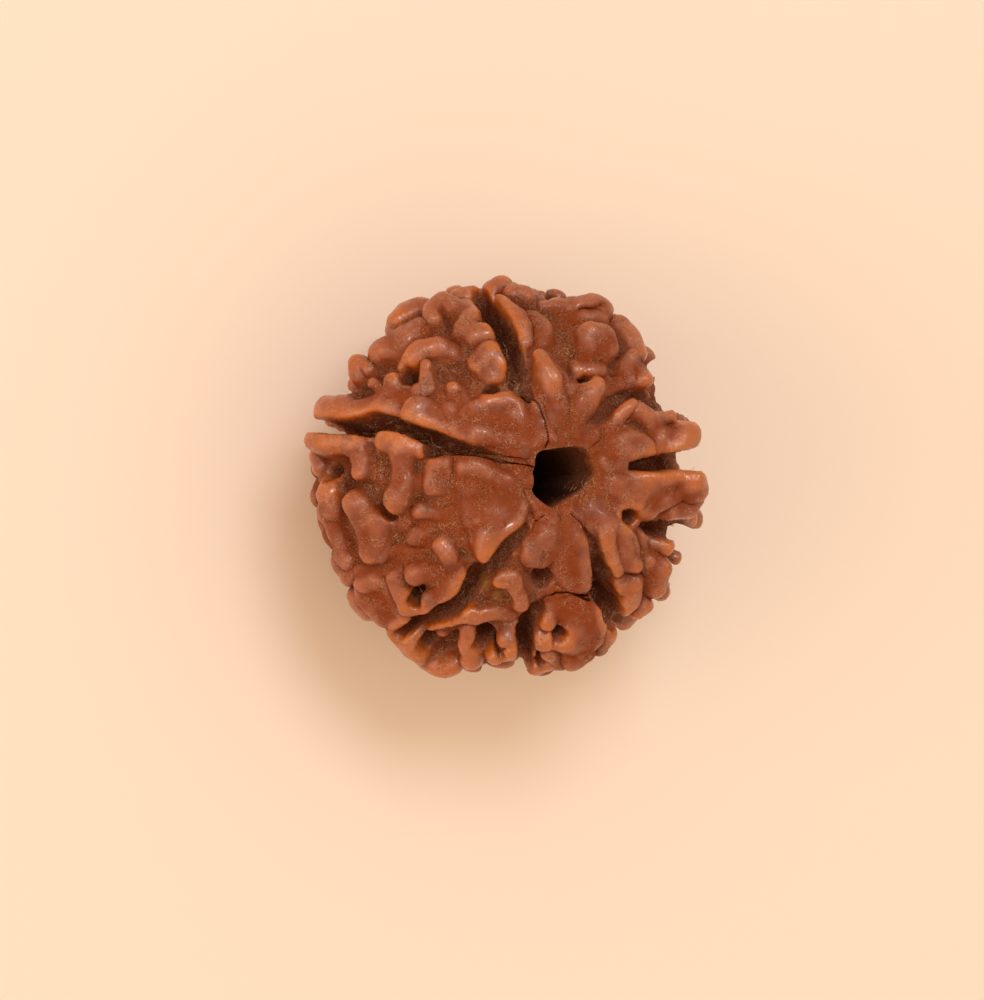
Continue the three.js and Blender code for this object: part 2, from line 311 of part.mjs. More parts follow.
// The direction on the unit sphere of a crest of this height, seen at (across, up).
// A point beyond the limb is drawn in to it.
function directionSeenAt(across, up, height) {
  const radii = radiiAt(height);
  const sight = TOWARDS.clone().divide(radii);
  const start = RIGHT.clone().multiplyScalar(across).addScaledVector(UP, up).divide(radii);
  const along = sight.dot(start);
  const reach = along * along / sight.lengthSq() - start.lengthSq() + 1;
  const forward = (Math.sqrt(Math.max(reach, 0) * sight.lengthSq()) - along) / sight.lengthSq();
  return start.addScaledVector(sight, forward).normalize();
}

function directionOf(bearing, latitude) {
  const turn = degToRad(bearing);
  const rise = degToRad(latitude);
  return new THREE.Vector3(Math.cos(rise) * Math.cos(turn), Math.cos(rise) * Math.sin(turn), Math.sin(rise));
}

function floorPoint(direction) {
  return direction.clone().multiply(FLOOR_RADII);
}

// Middle of some points, and how far the farthest is from it.
function ballOf(points) {
  const centre = new THREE.Vector3();
  for (const point of points) {
    centre.addScaledVector(point, 1 / points.length);
  }
  return { centre, radius: Math.max(...points.map((point) => point.distanceTo(centre))) };
}

// A crest or a cleft on the floor, with the widths and heights at its points.
function crestOf(directions, widths, heights) {
  const line = directions.map(floorPoint);
  const { centre, radius } = ballOf(line);
  return { line, widths, heights, centre, reach: radius + Math.max(...widths) + MASS_REACH };
}

function risenHeight(across, up, height) {
  return height + RIM_RISE * smoothstep(Math.hypot(across, up), 8.5, 11.5);
}

function seenCrest(points) {
  const heights = points.map(([across, up, , height]) => risenHeight(across, up, height));
  const directions = points.map(([across, up], order) => directionSeenAt(across, up, heights[order]));
  return crestOf(directions, points.map((point) => SLIMNESS * point[2]), heights);
}

// The direction of a pit or a cleft, seen between the tops of its neighbours.
function sunkDirection(across, up) {
  return directionSeenAt(across, up, risenHeight(across, up, PIT_LEVEL));
}

function seenCleft(points) {
  const directions = points.map(([across, up]) => sunkDirection(across, up));
  return crestOf(directions, points.map((point) => point[2]), points.map((point) => point[3]));
}

// A plate's outline lies in a plane that touches the floor.
function seenPlate([hollow, points]) {
  const heights = points.map((point) => risenHeight(...point));
  const corners = points.map(([across, up], order) => floorPoint(directionSeenAt(across, up, heights[order])));
  const { centre, radius } = ballOf(corners);
  const normal = centre.clone().divide(FLOOR_RADII).divide(FLOOR_RADII);
  const first = new THREE.Vector3().crossVectors(UP, normal).normalize();
  const second = new THREE.Vector3().crossVectors(normal, first).normalize();
  const outline = corners.map((corner) => {
    const offset = corner.clone().sub(centre);
    return new THREE.Vector2(offset.dot(first), offset.dot(second));
  });
  return { outline, heights, hollow, centre, first, second, reach: radius + MASS_REACH };
}

// Minimal-standard random numbers, the same on every run.
function lottery(seed) {
  let state = seed;
  return (low, high) => {
    state = state * 16807 % 2147483647;
    return low + (high - low) * state / 2147483647;
  };
}

// The wandering line of a cleft of the lower side.
function lowerCleft([bearing, latitude, width], order) {
  const side = order % 2 ? 1 : -1;
  const directions = [];
  for (let at = latitude; at > POLE_LATITUDE; at -= 8) {
    const turn = Math.max(0, latitude - at - CLEFT_CALM) / (16 + order);
    const sway = side * CLEFT_WANDER * Math.sin(turn) ** 2;
    directions.push(directionOf(bearing + sway, at));
  }
  const last = directions.length - 1;
  const widths = directions.map((_, step) => lerp(width, LOWER_CLEFT_END, step / last));
  return crestOf(directions, widths, directions.map(() => LOWER_CLEFT_DEPTH));
}

// A short cleft across the outline.
function notch([angle, width, depth]) {
  const turn = degToRad(angle);
  const onLimb = RIGHT.clone().multiplyScalar(Math.cos(turn)).addScaledVector(UP, Math.sin(turn));
  const bearing = Math.atan2(onLimb.y, onLimb.x) * 180 / Math.PI;
  const latitude = Math.asin(onLimb.z) * 180 / Math.PI;
  const directions = NOTCH_FALL.map((fall) => directionOf(bearing, latitude + fall));
  return crestOf(directions, directions.map(() => width), directions.map(() => depth));
}

// Broad petals round the lower pole, one between each two clefts. The seed stands on them.
function petals() {
  const bearings = LOWER_CLEFTS.map((cleft) => cleft[0]);
  return bearings.map((bearing, order) => {
    const next = order + 1 < bearings.length ? bearings[order + 1] : bearings[0] - 360;
    const middle = (bearing + next) / 2;
    const breadth = (bearing - next) / 60;
    const inner = Math.acos(PETAL_STARTS) * 180 / Math.PI;
    const outer = Math.acos(PETAL_ENDS) * 180 / Math.PI;
    const directions = [
      directionOf(middle - 4, -inner),
      directionOf(middle + 3, -(inner + outer) / 2),
      directionOf(middle - 2, -outer),
    ];
    const widths = [0.35 + 0.2 * breadth, 0.4 + 0.5 * breadth, 0.3 + 0.3 * breadth];
    return crestOf(directions, widths, [1.3, 1.6, 1.8]);
  });
}

// Nearest place on a line of floor points: how far off it is, between which points, and how far along.
function nearestOn(line, point) {
  let best = { distance: line[0].distanceTo(point), index: 0, share: 0 };
  for (let index = 0; index < line.length - 1; index += 1) {
    const step = line[index + 1].clone().sub(line[index]);
    const offset = point.clone().sub(line[index]);
    const share = clamp(offset.dot(step) / step.lengthSq(), 0, 1);
    const distance = offset.addScaledVector(step, -share).length();
    if (distance < best.distance) {
      best = { distance, index, share };
    }
  }
  return best;
}

// Worm-like crests and knobs that fill the lower side, each kept clear of its neighbours.
function lowerCrests(others, clefts) {
  const draw = lottery(LOWER_SEED);
  const taken = [];
  const settle = (crest) => crest.line.forEach((point, index) => {
    const next = crest.line[Math.min(index + 1, crest.line.length - 1)];
    taken.push({ point, width: crest.widths[index] });
    taken.push({ point: point.clone().add(next).multiplyScalar(0.5), width: crest.widths[index] });
  });
  others.forEach(settle);
  const isFree = (direction, width) => {
    const point = floorPoint(direction);
    return direction.dot(TOWARDS) < LIMB
      && direction.z > -0.96
      && taken.every((other) => other.point.distanceTo(point) > other.width + width + LOWER_GAP)
      && clefts.every((cleft) => {
        const gap = LOWER_CLEFT_GAP * Math.min(1, cleft.heights[0]);
        return nearestOn(cleft.line, point).distance > width + gap;
      });
  };
  const found = [];
  for (let attempt = 0; attempt < LOWER_TRIES; attempt += 1) {
    const rise = draw(-1, 0.5);
    const turn = draw(0, 2 * Math.PI);
    const width = draw(0.28, 0.72) * (attempt < LOWER_TRIES / 3 ? 1 : 0.75);
    const height = draw(1.65, 2.25);
    const bend = draw(-0.75, 0.75);
    const count = Math.floor(draw(1, 5.99));
    let heading = draw(0, 2 * Math.PI);
    const level = Math.sqrt(1 - rise * rise);
    let direction = new THREE.Vector3(level * Math.cos(turn), level * Math.sin(turn), rise);
    const directions = [];
    while (directions.length < count && isFree(direction, width)) {
      directions.push(direction);
      const side = new THREE.Vector3(-direction.y, direction.x, 0).normalize();
      const ahead = new THREE.Vector3().crossVectors(direction, side);
      direction = direction.clone()
        .addScaledVector(side, Math.cos(heading) * LOWER_STEP / FLOOR_RADII.x)
        .addScaledVector(ahead, Math.sin(heading) * LOWER_STEP / FLOOR_RADII.x)
        .normalize();
      heading += bend;
    }
    if (directions.length > 0) {
      const heights = directions.map((at) => {
        return height - 0.5 * Math.max(0, -at.z - 0.5) - LIMB_DROP * Math.max(0, at.dot(TOWARDS) + 0.35);
      });
      const widths = directions.map((_, order) => width * (1 - 0.12 * (order % 2)));
      const crest = crestOf(directions, widths, heights);
      settle(crest);
      found.push(crest);
    }
  }
  return found;
}

// How far a point of the floor is from a crest's or cleft's line, and its width and height there.
function besideLine({ line, widths, heights }, point) {
  const { distance, index, share } = nearestOn(line, point);
  const next = Math.min(index + 1, line.length - 1);
  const width = lerp(widths[index], widths[next], share);
  return { distance, width, height: lerp(heights[index], heights[next], share) };
}

// The same for a plate, whose height inside its outline comes from the corners round it.
function overPlate({ outline, heights, hollow, centre, first, second }, point) {
  const offset = point.clone().sub(centre);
  const place = new THREE.Vector2(offset.dot(first), offset.dot(second));
  let edge = Infinity;
  let inside = false;
  let pulls = 0;
  let height = 0;
  outline.forEach((corner, index) => {
    const next = (index + 1) % outline.length;
    const step = outline[next].clone().sub(corner);
    const away = place.clone().sub(corner);
    const share = clamp(away.dot(step) / step.lengthSq(), 0, 1);
    const crosses = (corner.y > place.y) !== (outline[next].y > place.y);
    if (crosses && away.x < step.x * away.y / step.y) {
      inside = !inside;
    }
    const gap = away.addScaledVector(step, -share).length();
    const pull = 1 / (gap * gap + 0.05);
    edge = Math.min(edge, gap);
    pulls += pull;
    height += pull * lerp(heights[index], heights[next], share);
  });
  height /= pulls;
  if (inside) {
    return { distance: 0, width: PLATE_EDGE, height: height - hollow * smoothstep(edge, 0, PLATE_DIP) };
  }
  return { distance: edge, width: PLATE_EDGE, height };
}

// The higher of two surfaces, with a fillet where they meet.
function join(first, second) {
  if (Math.min(first, second) <= 0) {
    return Math.max(first, second);
  }
  const overlap = Math.max(0, 1 - Math.abs(first - second) / FILLET);
  return Math.max(first, second) + overlap * overlap * FILLET / 4;
}

// A form's own rise at a distance from its line or outline, as a share of its height.
function profileOf({ distance, width }) {
  const wall = WALL * clamp(0.5 + width, ...WALL_SPREAD);
  const steep = clamp((distance - SHOULDER * width) / ((1 - SHOULDER) * width + wall), 0, 1);
  const broad = clamp(distance / (width + SKIRT), 0, 1);
  return CAP_SHARE * (1 - steep ** 2) ** 2 + (1 - CAP_SHARE) * (1 - broad ** 2) ** 2;
}

// The low mass under some forms.
function massUnder(forms, point) {
  const away = Math.hypot(point.x, point.y);
  let mass = point.z > 0 ? COLLAR_RISE * (1 - smoothstep(away, ...COLLAR_EDGES)) : 0;
  for (const { distance, width, height } of forms) {
    const broad = clamp(distance / (width + MASS_REACH), 0, 1);
    mass += MASS_SHARE * height * (1 - broad ** 2) ** 2;
  }
  return MASS_LIMIT * (1 - Math.exp(-mass / MASS_LIMIT));
}

// Height over the floor ellipsoid in a direction.
function heightIn(direction, crests, plates, clefts, pits) {
  const point = floorPoint(direction);
  const isNear = (form) => form.centre.distanceTo(point) < form.reach;
  const forms = [
    ...plates.filter(isNear).map((plate) => overPlate(plate, point)),
    ...crests.filter(isNear).map((crest) => besideLine(crest, point)),
  ];
  const base = massUnder(forms, point);
  const rise = forms.reduce((highest, form) => {
    return join(highest, Math.max(form.height - base, LEAST_RISE) * profileOf(form));
  }, 0);
  const swell = FLOOR_SWELL * (Math.sin(point.x * 1.3 + point.z) + Math.sin(point.y * 1.5 - point.z * 0.7));
  let height = swell + base + rise;
  let closeness = 0;
  for (const cleft of clefts.filter(isNear)) {
    const { distance, width, height: depth } = besideLine(cleft, point);
    const away = (distance - 0.5 * width) / (0.5 * width + CLEFT_EDGE);
    closeness = Math.max(closeness, depth * (1 - smoothstep(away, 0, 1)));
  }
  height = lerp(height, CLEFT_LEVEL, clamp(closeness, 0, 1));
  height -= CLEFT_SINK * clamp(closeness - 1, 0, 1);
  for (const { centre, radius, depth } of pits) {
    const dip = Math.exp(-((centre.distanceTo(point) / radius) ** 4));
    height = lerp(height, Math.min(height, -PIT_DROP * depth), dip);
  }
  return height;
}

// A geometry with one vertex a place.
function weldedGeometry(geometry) {
  geometry.deleteAttribute('normal');
  geometry.deleteAttribute('uv');
  return mergeVertices(geometry, 1e-5);
}

function closedSolid(wasm, geometry) {
  return new wasm.Manifold(new wasm.Mesh({
    numProp: 3,
    vertProperties: Float32Array.from(geometry.attributes.position.array),
    triVerts: Uint32Array.from(geometry.index.array),
  }));
}

// The grown stone, before it is bored.
function stoneGeometry() {
  const plates = PLATES.map(seenPlate);
  const clefts = [...CLEFTS.map(seenCleft), ...NOTCHES.map(notch), ...LOWER_CLEFTS.map(lowerCleft)];
  const pits = PITS.map(([across, up, radius, depth]) => {
    return { centre: floorPoint(sunkDirection(across, up)), radius, depth };
  });
  const upper = [...Object.values(CRESTS).flat().map(seenCrest), ...petals()];
  const crests = [...upper, ...lowerCrests(upper, clefts)];
  const geometry = weldedGeometry(new THREE.IcosahedronGeometry(1, MESH_DETAIL));
  const position = geometry.attributes.position;
  const direction = new THREE.Vector3();
  for (let index = 0; index < position.count; index += 1) {
    direction.fromBufferAttribute(position, index).normalize();
    const height = heightIn(direction, crests, plates, clefts, pits);
    const place = direction.clone().multiply(radiiAt(height));
    position.setXYZ(index, place.x, place.y, place.z);
  }
  return geometry;
}

// The bore runs right through, a little narrower in the middle than at its mouths.
function boreGeometry() {
  const section = new THREE.Shape(BORE_MOUTH.map(([x, y]) => new THREE.Vector2(x, y)).reverse());
  const run = { depth: BORE_LENGTH, steps: BORE_STEPS, bevelEnabled: false };
  const geometry = weldedGeometry(new THREE.ExtrudeGeometry(section, run));
  geometry.translate(0, 0, -BORE_LENGTH / 2);
  const position = geometry.attributes.position;
  for (let index = 0; index < position.count; index += 1) {
    const away = Math.min(1, Math.abs(position.getZ(index)) / FLOOR_RADII.z);
    const share = BORE_WAIST + (1 - BORE_WAIST) * away * away;
    position.setX(index, position.getX(index) * share);
    position.setY(index, position.getY(index) * share);
  }
  return geometry;
}

// Everything under the feet.
function groundGeometry() {
  const size = 4 * FLOOR_RADII.x;
  const geometry = weldedGeometry(new THREE.BoxGeometry(size, size, size));
  geometry.translate(0, 0, FOOT_LEVEL - size / 2);
  return geometry;
}

async function seedGeometry() {
  const wasm = await Module();
  wasm.setup();
  const solid = closedSolid(wasm, stoneGeometry())
    .subtract(closedSolid(wasm, boreGeometry()))
    .subtract(closedSolid(wasm, groundGeometry()));
  const mesh = solid.getMesh();
  const geometry = new THREE.BufferGeometry();
  geometry.setAttribute('position', new THREE.BufferAttribute(mesh.vertProperties, 3));
  geometry.setIndex(new THREE.BufferAttribute(mesh.triVerts, 1));
  geometry.translate(-MIDDLE_X, -MIDDLE_Y, -FOOT_LEVEL);
  geometry.computeVertexNormals();
  return geometry;
}

const seed = new THREE.Mesh(
  await seedGeometry(),
  new THREE.MeshStandardMaterial({ color: SEED_COLOUR, roughness: 0.55, metalness: 0 }),
);
seed.name = 'seed';

const rudraksha = new THREE.Group();
rudraksha.add(seed);

export default rudraksha;
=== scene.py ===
"""Rudraksha seed: a dried, bored stone with rounded crests, dusty valleys and deep clefts.

The stone is grown from one formula: rounded crests stand on an ellipsoid of valley floors, clefts and
pits are sunk into it, and the crests overhang their valleys a little. Crests of the side that the
camera sees are placed one by one; those of the lower side are laid by a seeded rule.
"""

import logging
import math
from dataclasses import dataclass
from enum import Enum
from typing import Callable, Sequence

import bpy
import numpy as np
from mathutils import Matrix, Vector


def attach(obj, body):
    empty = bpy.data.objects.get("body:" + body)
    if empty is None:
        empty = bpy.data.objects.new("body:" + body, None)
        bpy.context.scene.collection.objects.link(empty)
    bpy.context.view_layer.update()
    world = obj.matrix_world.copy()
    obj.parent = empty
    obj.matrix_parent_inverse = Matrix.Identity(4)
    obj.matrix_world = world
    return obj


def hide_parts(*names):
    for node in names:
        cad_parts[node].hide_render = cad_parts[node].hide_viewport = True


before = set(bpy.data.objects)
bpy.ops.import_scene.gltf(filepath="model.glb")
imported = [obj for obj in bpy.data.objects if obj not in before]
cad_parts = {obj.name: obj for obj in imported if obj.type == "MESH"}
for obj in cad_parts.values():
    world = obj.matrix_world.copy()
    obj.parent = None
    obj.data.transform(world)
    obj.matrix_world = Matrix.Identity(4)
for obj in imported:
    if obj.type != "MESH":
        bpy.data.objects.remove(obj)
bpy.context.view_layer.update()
LOG = logging.getLogger("rudraksha")

MM = 0.001
NODE = "seed"
BODY = "root"

Array = np.ndarray

# The camera looks down a line that leans TILT from the bore towards -X, with +Y up.
TILT = math.radians(20)
RIGHT = np.array([math.cos(TILT), 0.0, math.sin(TILT)])
UP = np.array([0.0, 1.0, 0.0])
TOWARDS = np.array([-math.sin(TILT), 0.0, math.cos(TILT)])

# Crests of the upper side: across, up, half-width of the top, height over the floor, in millimetres.
SEEN_CRESTS = (
    # Above the left cleft
    ((-4.9, 3.7, 0.55, 1.7), (-3.0, 3.45, 0.75, 1.5), (-1.2, 3.55, 1.15, 1.5),
     (0.0, 3.6, 1.35, 1.45), (0.5, 3.2, 1.1, 1.3)),
    ((-5.9, 3.75, 0.5, 2.0), (-4.2, 3.25, 0.38, 1.8), (-2.0, 2.7, 0.35, 1.7),
     (0.0, 2.35, 0.32, 1.55), (0.95, 2.3, 0.3, 1.35)),
    ((-0.9, 4.7, 0.5, 1.6), (0.0, 4.9, 0.45, 1.7), (0.5, 4.3, 0.4, 1.6), (0.7, 3.5, 0.4, 1.5)),
    ((-5.7, 4.35, 0.45, 2.1),),
    ((-3.6, 4.0, 0.42, 1.9),),
    ((-3.4, 5.5, 0.2, 1.6), (-3.4, 5.1, 0.25, 1.3)),
    ((-5.15, 7.2, 0.1, 2.2), (-5.0, 6.5, 0.25, 2.1), (-5.1, 5.7, 0.35, 1.8),
     (-5.6, 5.35, 0.35, 1.7)),
    ((-6.5, 6.9, 0.3, 1.9), (-6.0, 7.5, 0.35, 2.0), (-5.3, 8.1, 0.4, 2.0), (-4.4, 8.2, 0.45, 1.9),
     (-3.5, 7.9, 0.4, 1.6)),
    ((-11.9, 4.4, 0.75, 2.5), (-11.0, 4.6, 0.7, 2.4), (-10.0, 4.4, 0.45, 2.1),
     (-9.2, 4.4, 0.55, 2.0), (-8.2, 4.8, 0.8, 2.1), (-7.6, 5.6, 0.6, 2.1), (-7.5, 6.3, 0.4, 2.2)),
    ((-8.2, 4.6, 0.7, 1.9), (-7.3, 4.7, 0.75, 1.8), (-6.6, 4.8, 0.5, 1.5)),
    ((-8.6, 5.95, 0.25, 1.9), (-8.2, 5.5, 0.3, 1.9)),
    ((-9.45, 6.5, 0.45, 1.9), (-9.3, 7.1, 0.5, 2.0), (-8.8, 6.9, 0.4, 1.8)),
    ((-8.1, 8.05, 0.62, 2.1), (-7.2, 8.35, 0.75, 2.0), (-6.3, 9.0, 0.65, 2.0), (-5.5, 9.5, 0.5, 1.9)),
    ((-7.0, 10.2, 0.6, 2.2), (-6.4, 10.7, 0.75, 2.2), (-5.7, 10.9, 0.5, 2.0)),
    ((-4.7, 10.2, 0.35, 2.2), (-4.75, 10.8, 0.45, 2.3), (-4.1, 11.25, 0.5, 2.3),
     (-3.4, 11.1, 0.5, 2.3), (-2.9, 10.9, 0.4, 2.2)),
    ((-2.7, 11.1, 0.35, 2.1), (-2.35, 10.4, 0.5, 2.2), (-2.55, 9.6, 0.6, 2.1),
     (-2.0, 9.05, 0.5, 2.0), (-1.35, 9.05, 0.35, 1.9)),
    ((-1.75, 7.3, 0.5, 1.8), (-1.0, 8.0, 0.5, 2.2), (-0.4, 7.4, 0.45, 1.9)),
    ((-1.1, 7.0, 0.9, 1.5),),
    ((-3.1, 11.7, 0.4, 2.0), (-2.3, 11.9, 0.5, 2.1), (-1.6, 11.9, 0.45, 2.1)),
    ((-1.1, 12.1, 0.45, 2.0), (-0.2, 12.2, 0.4, 2.0)),
    # Top face
    ((-1.0, 11.3, 0.42, 2.2), (-0.1, 10.9, 0.5, 2.2), (0.7, 10.4, 0.45, 2.2), (1.0, 9.6, 0.38, 2.2),
     (1.05, 8.7, 0.35, 2.2)),
    ((1.5, 10.4, 0.6, 2.0), (2.0, 9.6, 0.7, 1.9), (2.0, 8.7, 0.7, 1.8)),
    ((0.4, 11.8, 0.5, 2.1), (1.2, 11.8, 0.6, 2.1)),
    ((2.3, 11.1, 0.4, 1.7), (3.05, 11.2, 0.5, 1.9), (3.9, 10.8, 0.45, 1.8)),
    ((4.6, 10.9, 0.45, 2.1), (5.4, 11.3, 0.6, 2.4), (6.1, 10.9, 0.5, 2.3), (5.9, 10.1, 0.5, 1.9),
     (4.8, 10.2, 0.5, 1.7)),
    ((5.2, 8.4, 0.5, 2.2), (5.5, 9.1, 0.55, 2.4), (6.3, 9.1, 0.55, 2.4), (6.5, 8.4, 0.45, 2.2)),
    ((5.9, 8.5, 0.6, 2.15),),
    ((4.5, 6.95, 0.4, 1.7), (5.3, 7.05, 0.4, 1.9), (5.9, 7.1, 0.3, 1.9)),
    ((7.3, 9.9, 0.55, 2.3), (8.0, 9.1, 0.65, 2.4), (8.5, 8.1, 0.45, 2.3)),
    ((8.1, 7.9, 0.28, 2.2), (7.7, 7.2, 0.38, 2.0), (7.6, 6.4, 0.5, 1.9), (7.1, 6.0, 0.4, 1.5)),
    ((8.15, 7.3, 0.25, 2.0), (8.35, 6.6, 0.3, 1.9)),
    ((8.4, 7.0, 0.45, 1.9), (8.6, 6.2, 0.5, 2.1), (8.4, 5.5, 0.45, 1.9)),
    ((2.0, 7.7, 0.22, 2.35), (2.4, 6.8, 0.3, 2.25), (2.8, 5.9, 0.34, 2.15), (3.1, 5.1, 0.34, 1.9),
     (3.35, 4.3, 0.35, 1.6), (3.4, 3.4, 0.3, 1.2), (3.4, 2.6, 0.3, 0.8)),
    ((5.65, 5.9, 0.3, 2.2), (5.2, 5.2, 0.38, 2.0), (4.7, 4.4, 0.4, 1.7), (4.3, 3.6, 0.35, 1.3),
     (4.1, 2.7, 0.3, 0.8)),
    ((4.0, 5.2, 0.5, 1.25), (4.1, 4.6, 0.5, 1.2), (3.9, 3.8, 0.4, 1.0)),
    # Right face
    ((7.65, 4.55, 0.25, 1.9), (7.2, 4.0, 0.28, 1.8), (6.7, 3.2, 0.28, 1.6), (6.35, 2.5, 0.3, 1.4),
     (5.8, 2.1, 0.35, 1.1)),
    ((6.5, 1.9, 0.35, 1.4), (7.4, 2.2, 0.6, 1.6), (8.3, 2.2, 0.65, 1.8), (8.95, 1.95, 0.4, 1.9)),
    ((7.0, 2.9, 0.4, 1.3), (7.9, 2.7, 0.4, 1.5)),
    ((8.0, 4.25, 0.3, 1.8), (8.8, 3.9, 0.35, 1.9), (9.5, 3.4, 0.4, 1.9)),
    ((10.2, 2.6, 0.8, 2.3), (11.1, 2.5, 0.95, 2.9), (11.7, 2.8, 0.8, 3.0)),
    ((9.5, 3.6, 0.3, 1.8), (10.1, 3.9, 0.3, 1.9), (10.6, 3.5, 0.35, 1.9)),
    # Lower right face
    ((5.6, -0.1, 0.4, 1.1), (6.5, -0.4, 0.4, 1.3), (7.3, -0.8, 0.45, 1.5), (8.1, -1.0, 0.6, 1.6)),
    ((8.3, -0.1, 0.35, 1.6), (9.2, 0.0, 0.4, 1.9), (10.0, -0.1, 0.38, 2.1)),
    ((8.6, -1.1, 0.9, 1.8), (9.3, -0.9, 0.8, 1.9), (9.0, -1.9, 0.5, 1.8)),
    ((10.0, -1.5, 0.35, 2.0), (10.6, -1.3, 0.35, 2.0)),
    ((10.6, 0.1, 0.6, 2.1), (11.6, -0.1, 0.75, 2.8), (12.0, -0.7, 0.7, 2.8)),
    ((11.9, -1.3, 0.6, 2.2), (11.6, -2.0, 0.5, 2.1), (10.7, -2.2, 0.4, 1.9)),
    # Corner face
    ((5.2, -2.35, 0.3, 1.3), (5.9, -2.7, 0.3, 1.5), (6.3, -3.3, 0.3, 1.7), (6.5, -4.2, 0.33, 1.9),
     (6.7, -5.2, 0.3, 2.0), (6.95, -5.95, 0.22, 2.0)),
    ((6.4, -2.9, 0.3, 1.5), (7.2, -3.6, 0.6, 1.7), (7.4, -4.6, 0.6, 1.8), (7.5, -5.3, 0.5, 1.9),
     (8.05, -5.5, 0.22, 2.0)),
    ((5.2, -1.4, 0.7, 1.0), (6.2, -1.7, 0.5, 1.1)),
    ((9.6, -4.0, 0.4, 1.5), (10.1, -4.2, 0.5, 2.0)),
    ((8.9, -5.4, 0.5, 1.8), (9.6, -5.9, 0.65, 2.2), (9.4, -6.9, 0.5, 2.1)),
    ((7.3, -6.8, 0.6, 1.8), (8.0, -7.1, 0.65, 2.1), (7.9, -7.9, 0.5, 2.1), (7.3, -8.5, 0.45, 2.0)),
    ((8.4, -8.5, 0.3, 2.0), (8.8, -8.0, 0.4, 2.1)),
    ((8.35, -3.2, 0.15, 1.1), (8.4, -4.5, 0.15, 1.2)),
    ((8.8, -3.1, 0.15, 1.1), (8.85, -4.7, 0.15, 1.2)),
    # Bottom face
    ((4.05, -2.7, 0.3, 1.2), (4.35, -3.7, 0.3, 1.4), (4.7, -4.8, 0.33, 1.6), (5.0, -6.0, 0.35, 1.8),
     (5.05, -6.8, 0.35, 1.8)),
    ((3.8, -3.6, 0.35, 1.2), (3.9, -4.8, 0.6, 1.4), (4.2, -6.0, 0.9, 1.5), (4.4, -6.6, 0.6, 1.5)),
    ((1.6, -1.0, 0.3, 1.0), (2.3, -1.9, 0.35, 1.1), (2.65, -2.9, 0.32, 1.4), (2.2, -3.9, 0.32, 1.7),
     (1.5, -4.7, 0.35, 1.9)),
    ((1.5, -5.1, 0.45, 1.8), (2.0, -5.1, 0.4, 1.6), (2.4, -4.5, 0.35, 1.4)),
    ((3.6, -8.3, 0.8, 1.7), (4.6, -8.7, 1.2, 1.9), (4.9, -9.9, 1.0, 2.0), (4.6, -10.7, 0.7, 2.0)),
    ((2.9, -8.2, 0.45, 1.7), (2.6, -8.8, 0.35, 1.9), (2.45, -9.3, 0.22, 2.0)),
    ((1.4, -10.1, 0.28, 1.8), (2.2, -10.45, 0.3, 2.0), (3.3, -10.5, 0.4, 2.0), (4.1, -10.6, 0.4, 2.0)),
    ((1.6, -11.9, 0.45, 2.0), (2.6, -12.0, 0.45, 2.1), (3.5, -11.9, 0.45, 2.1),
     (2.7, -11.3, 0.3, 2.1)),
    ((4.2, -11.7, 0.4, 2.5), (5.2, -11.2, 0.35, 2.2)),
    ((6.6, -9.7, 0.35, 2.2), (6.5, -10.3, 0.35, 2.2), (6.0, -10.9, 0.3, 2.1)),
    ((-0.5, -6.5, 0.42, 2.0), (0.3, -6.5, 0.5, 2.1), (0.55, -7.3, 0.42, 2.0), (0.7, -8.1, 0.35, 2.0)),
    ((-5.3, -9.25, 0.35, 2.0), (-4.2, -9.0, 0.4, 2.0), (-2.9, -8.7, 0.55, 2.1),
     (-1.9, -8.9, 0.4, 1.9), (-0.7, -8.5, 0.3, 1.7), (0.2, -8.6, 0.25, 1.5)),
    ((-2.5, -9.6, 0.4, 1.9), (-2.6, -10.6, 0.4, 1.9), (-2.4, -11.7, 0.65, 2.1)),
    ((-7.2, -10.0, 0.75, 2.3), (-6.4, -10.7, 0.75, 2.3), (-5.7, -11.3, 0.6, 2.2)),
    ((-5.2, -11.6, 0.5, 2.1), (-4.3, -11.9, 0.55, 2.1), (-3.5, -12.0, 0.45, 2.1)),
    ((-0.9, -11.2, 0.35, 1.9), (0.1, -11.0, 0.5, 2.0), (0.7, -10.3, 0.35, 1.9),
     (-0.2, -10.2, 0.4, 1.7)),
    ((-4.1, -9.8, 0.15, 1.2), (-3.6, -9.9, 0.1, 1.1)),
    # Left face
    ((-2.65, 0.75, 0.35, 1.8), (-1.4, 0.35, 0.35, 1.6), (-0.2, -0.1, 0.35, 1.4),
     (0.6, -0.4, 0.3, 1.2)),
    ((-0.3, -1.2, 1.1, 1.35), (-0.6, -2.2, 1.3, 1.5), (-1.0, -3.2, 1.0, 1.6), (-1.4, -4.2, 0.5, 1.8),
     (-1.45, -4.8, 0.25, 1.9)),
    ((-2.4, -0.4, 0.6, 1.4), (-2.5, -1.4, 0.6, 1.2), (-2.1, -2.6, 0.6, 1.4)),
    ((-4.5, 0.75, 0.4, 1.8), (-4.6, -0.1, 0.45, 1.9), (-4.7, -0.7, 0.5, 1.9)),
    ((-3.8, 0.5, 0.4, 1.4), (-3.9, -0.6, 0.4, 1.4)),
    ((-5.4, -2.0, 0.25, 1.5), (-4.8, -2.15, 0.28, 1.4), (-4.2, -2.3, 0.3, 1.2)),
    ((-7.75, 2.3, 0.5, 2.2), (-6.9, 2.2, 0.55, 2.2), (-6.1, 2.0, 0.5, 2.1), (-5.6, 1.75, 0.35, 1.9)),
    ((-6.75, 1.6, 0.45, 2.0), (-6.6, 0.6, 0.38, 1.9), (-6.6, -0.3, 0.45, 2.1),
     (-6.95, -1.1, 0.5, 2.2), (-7.1, -1.5, 0.4, 2.1)),
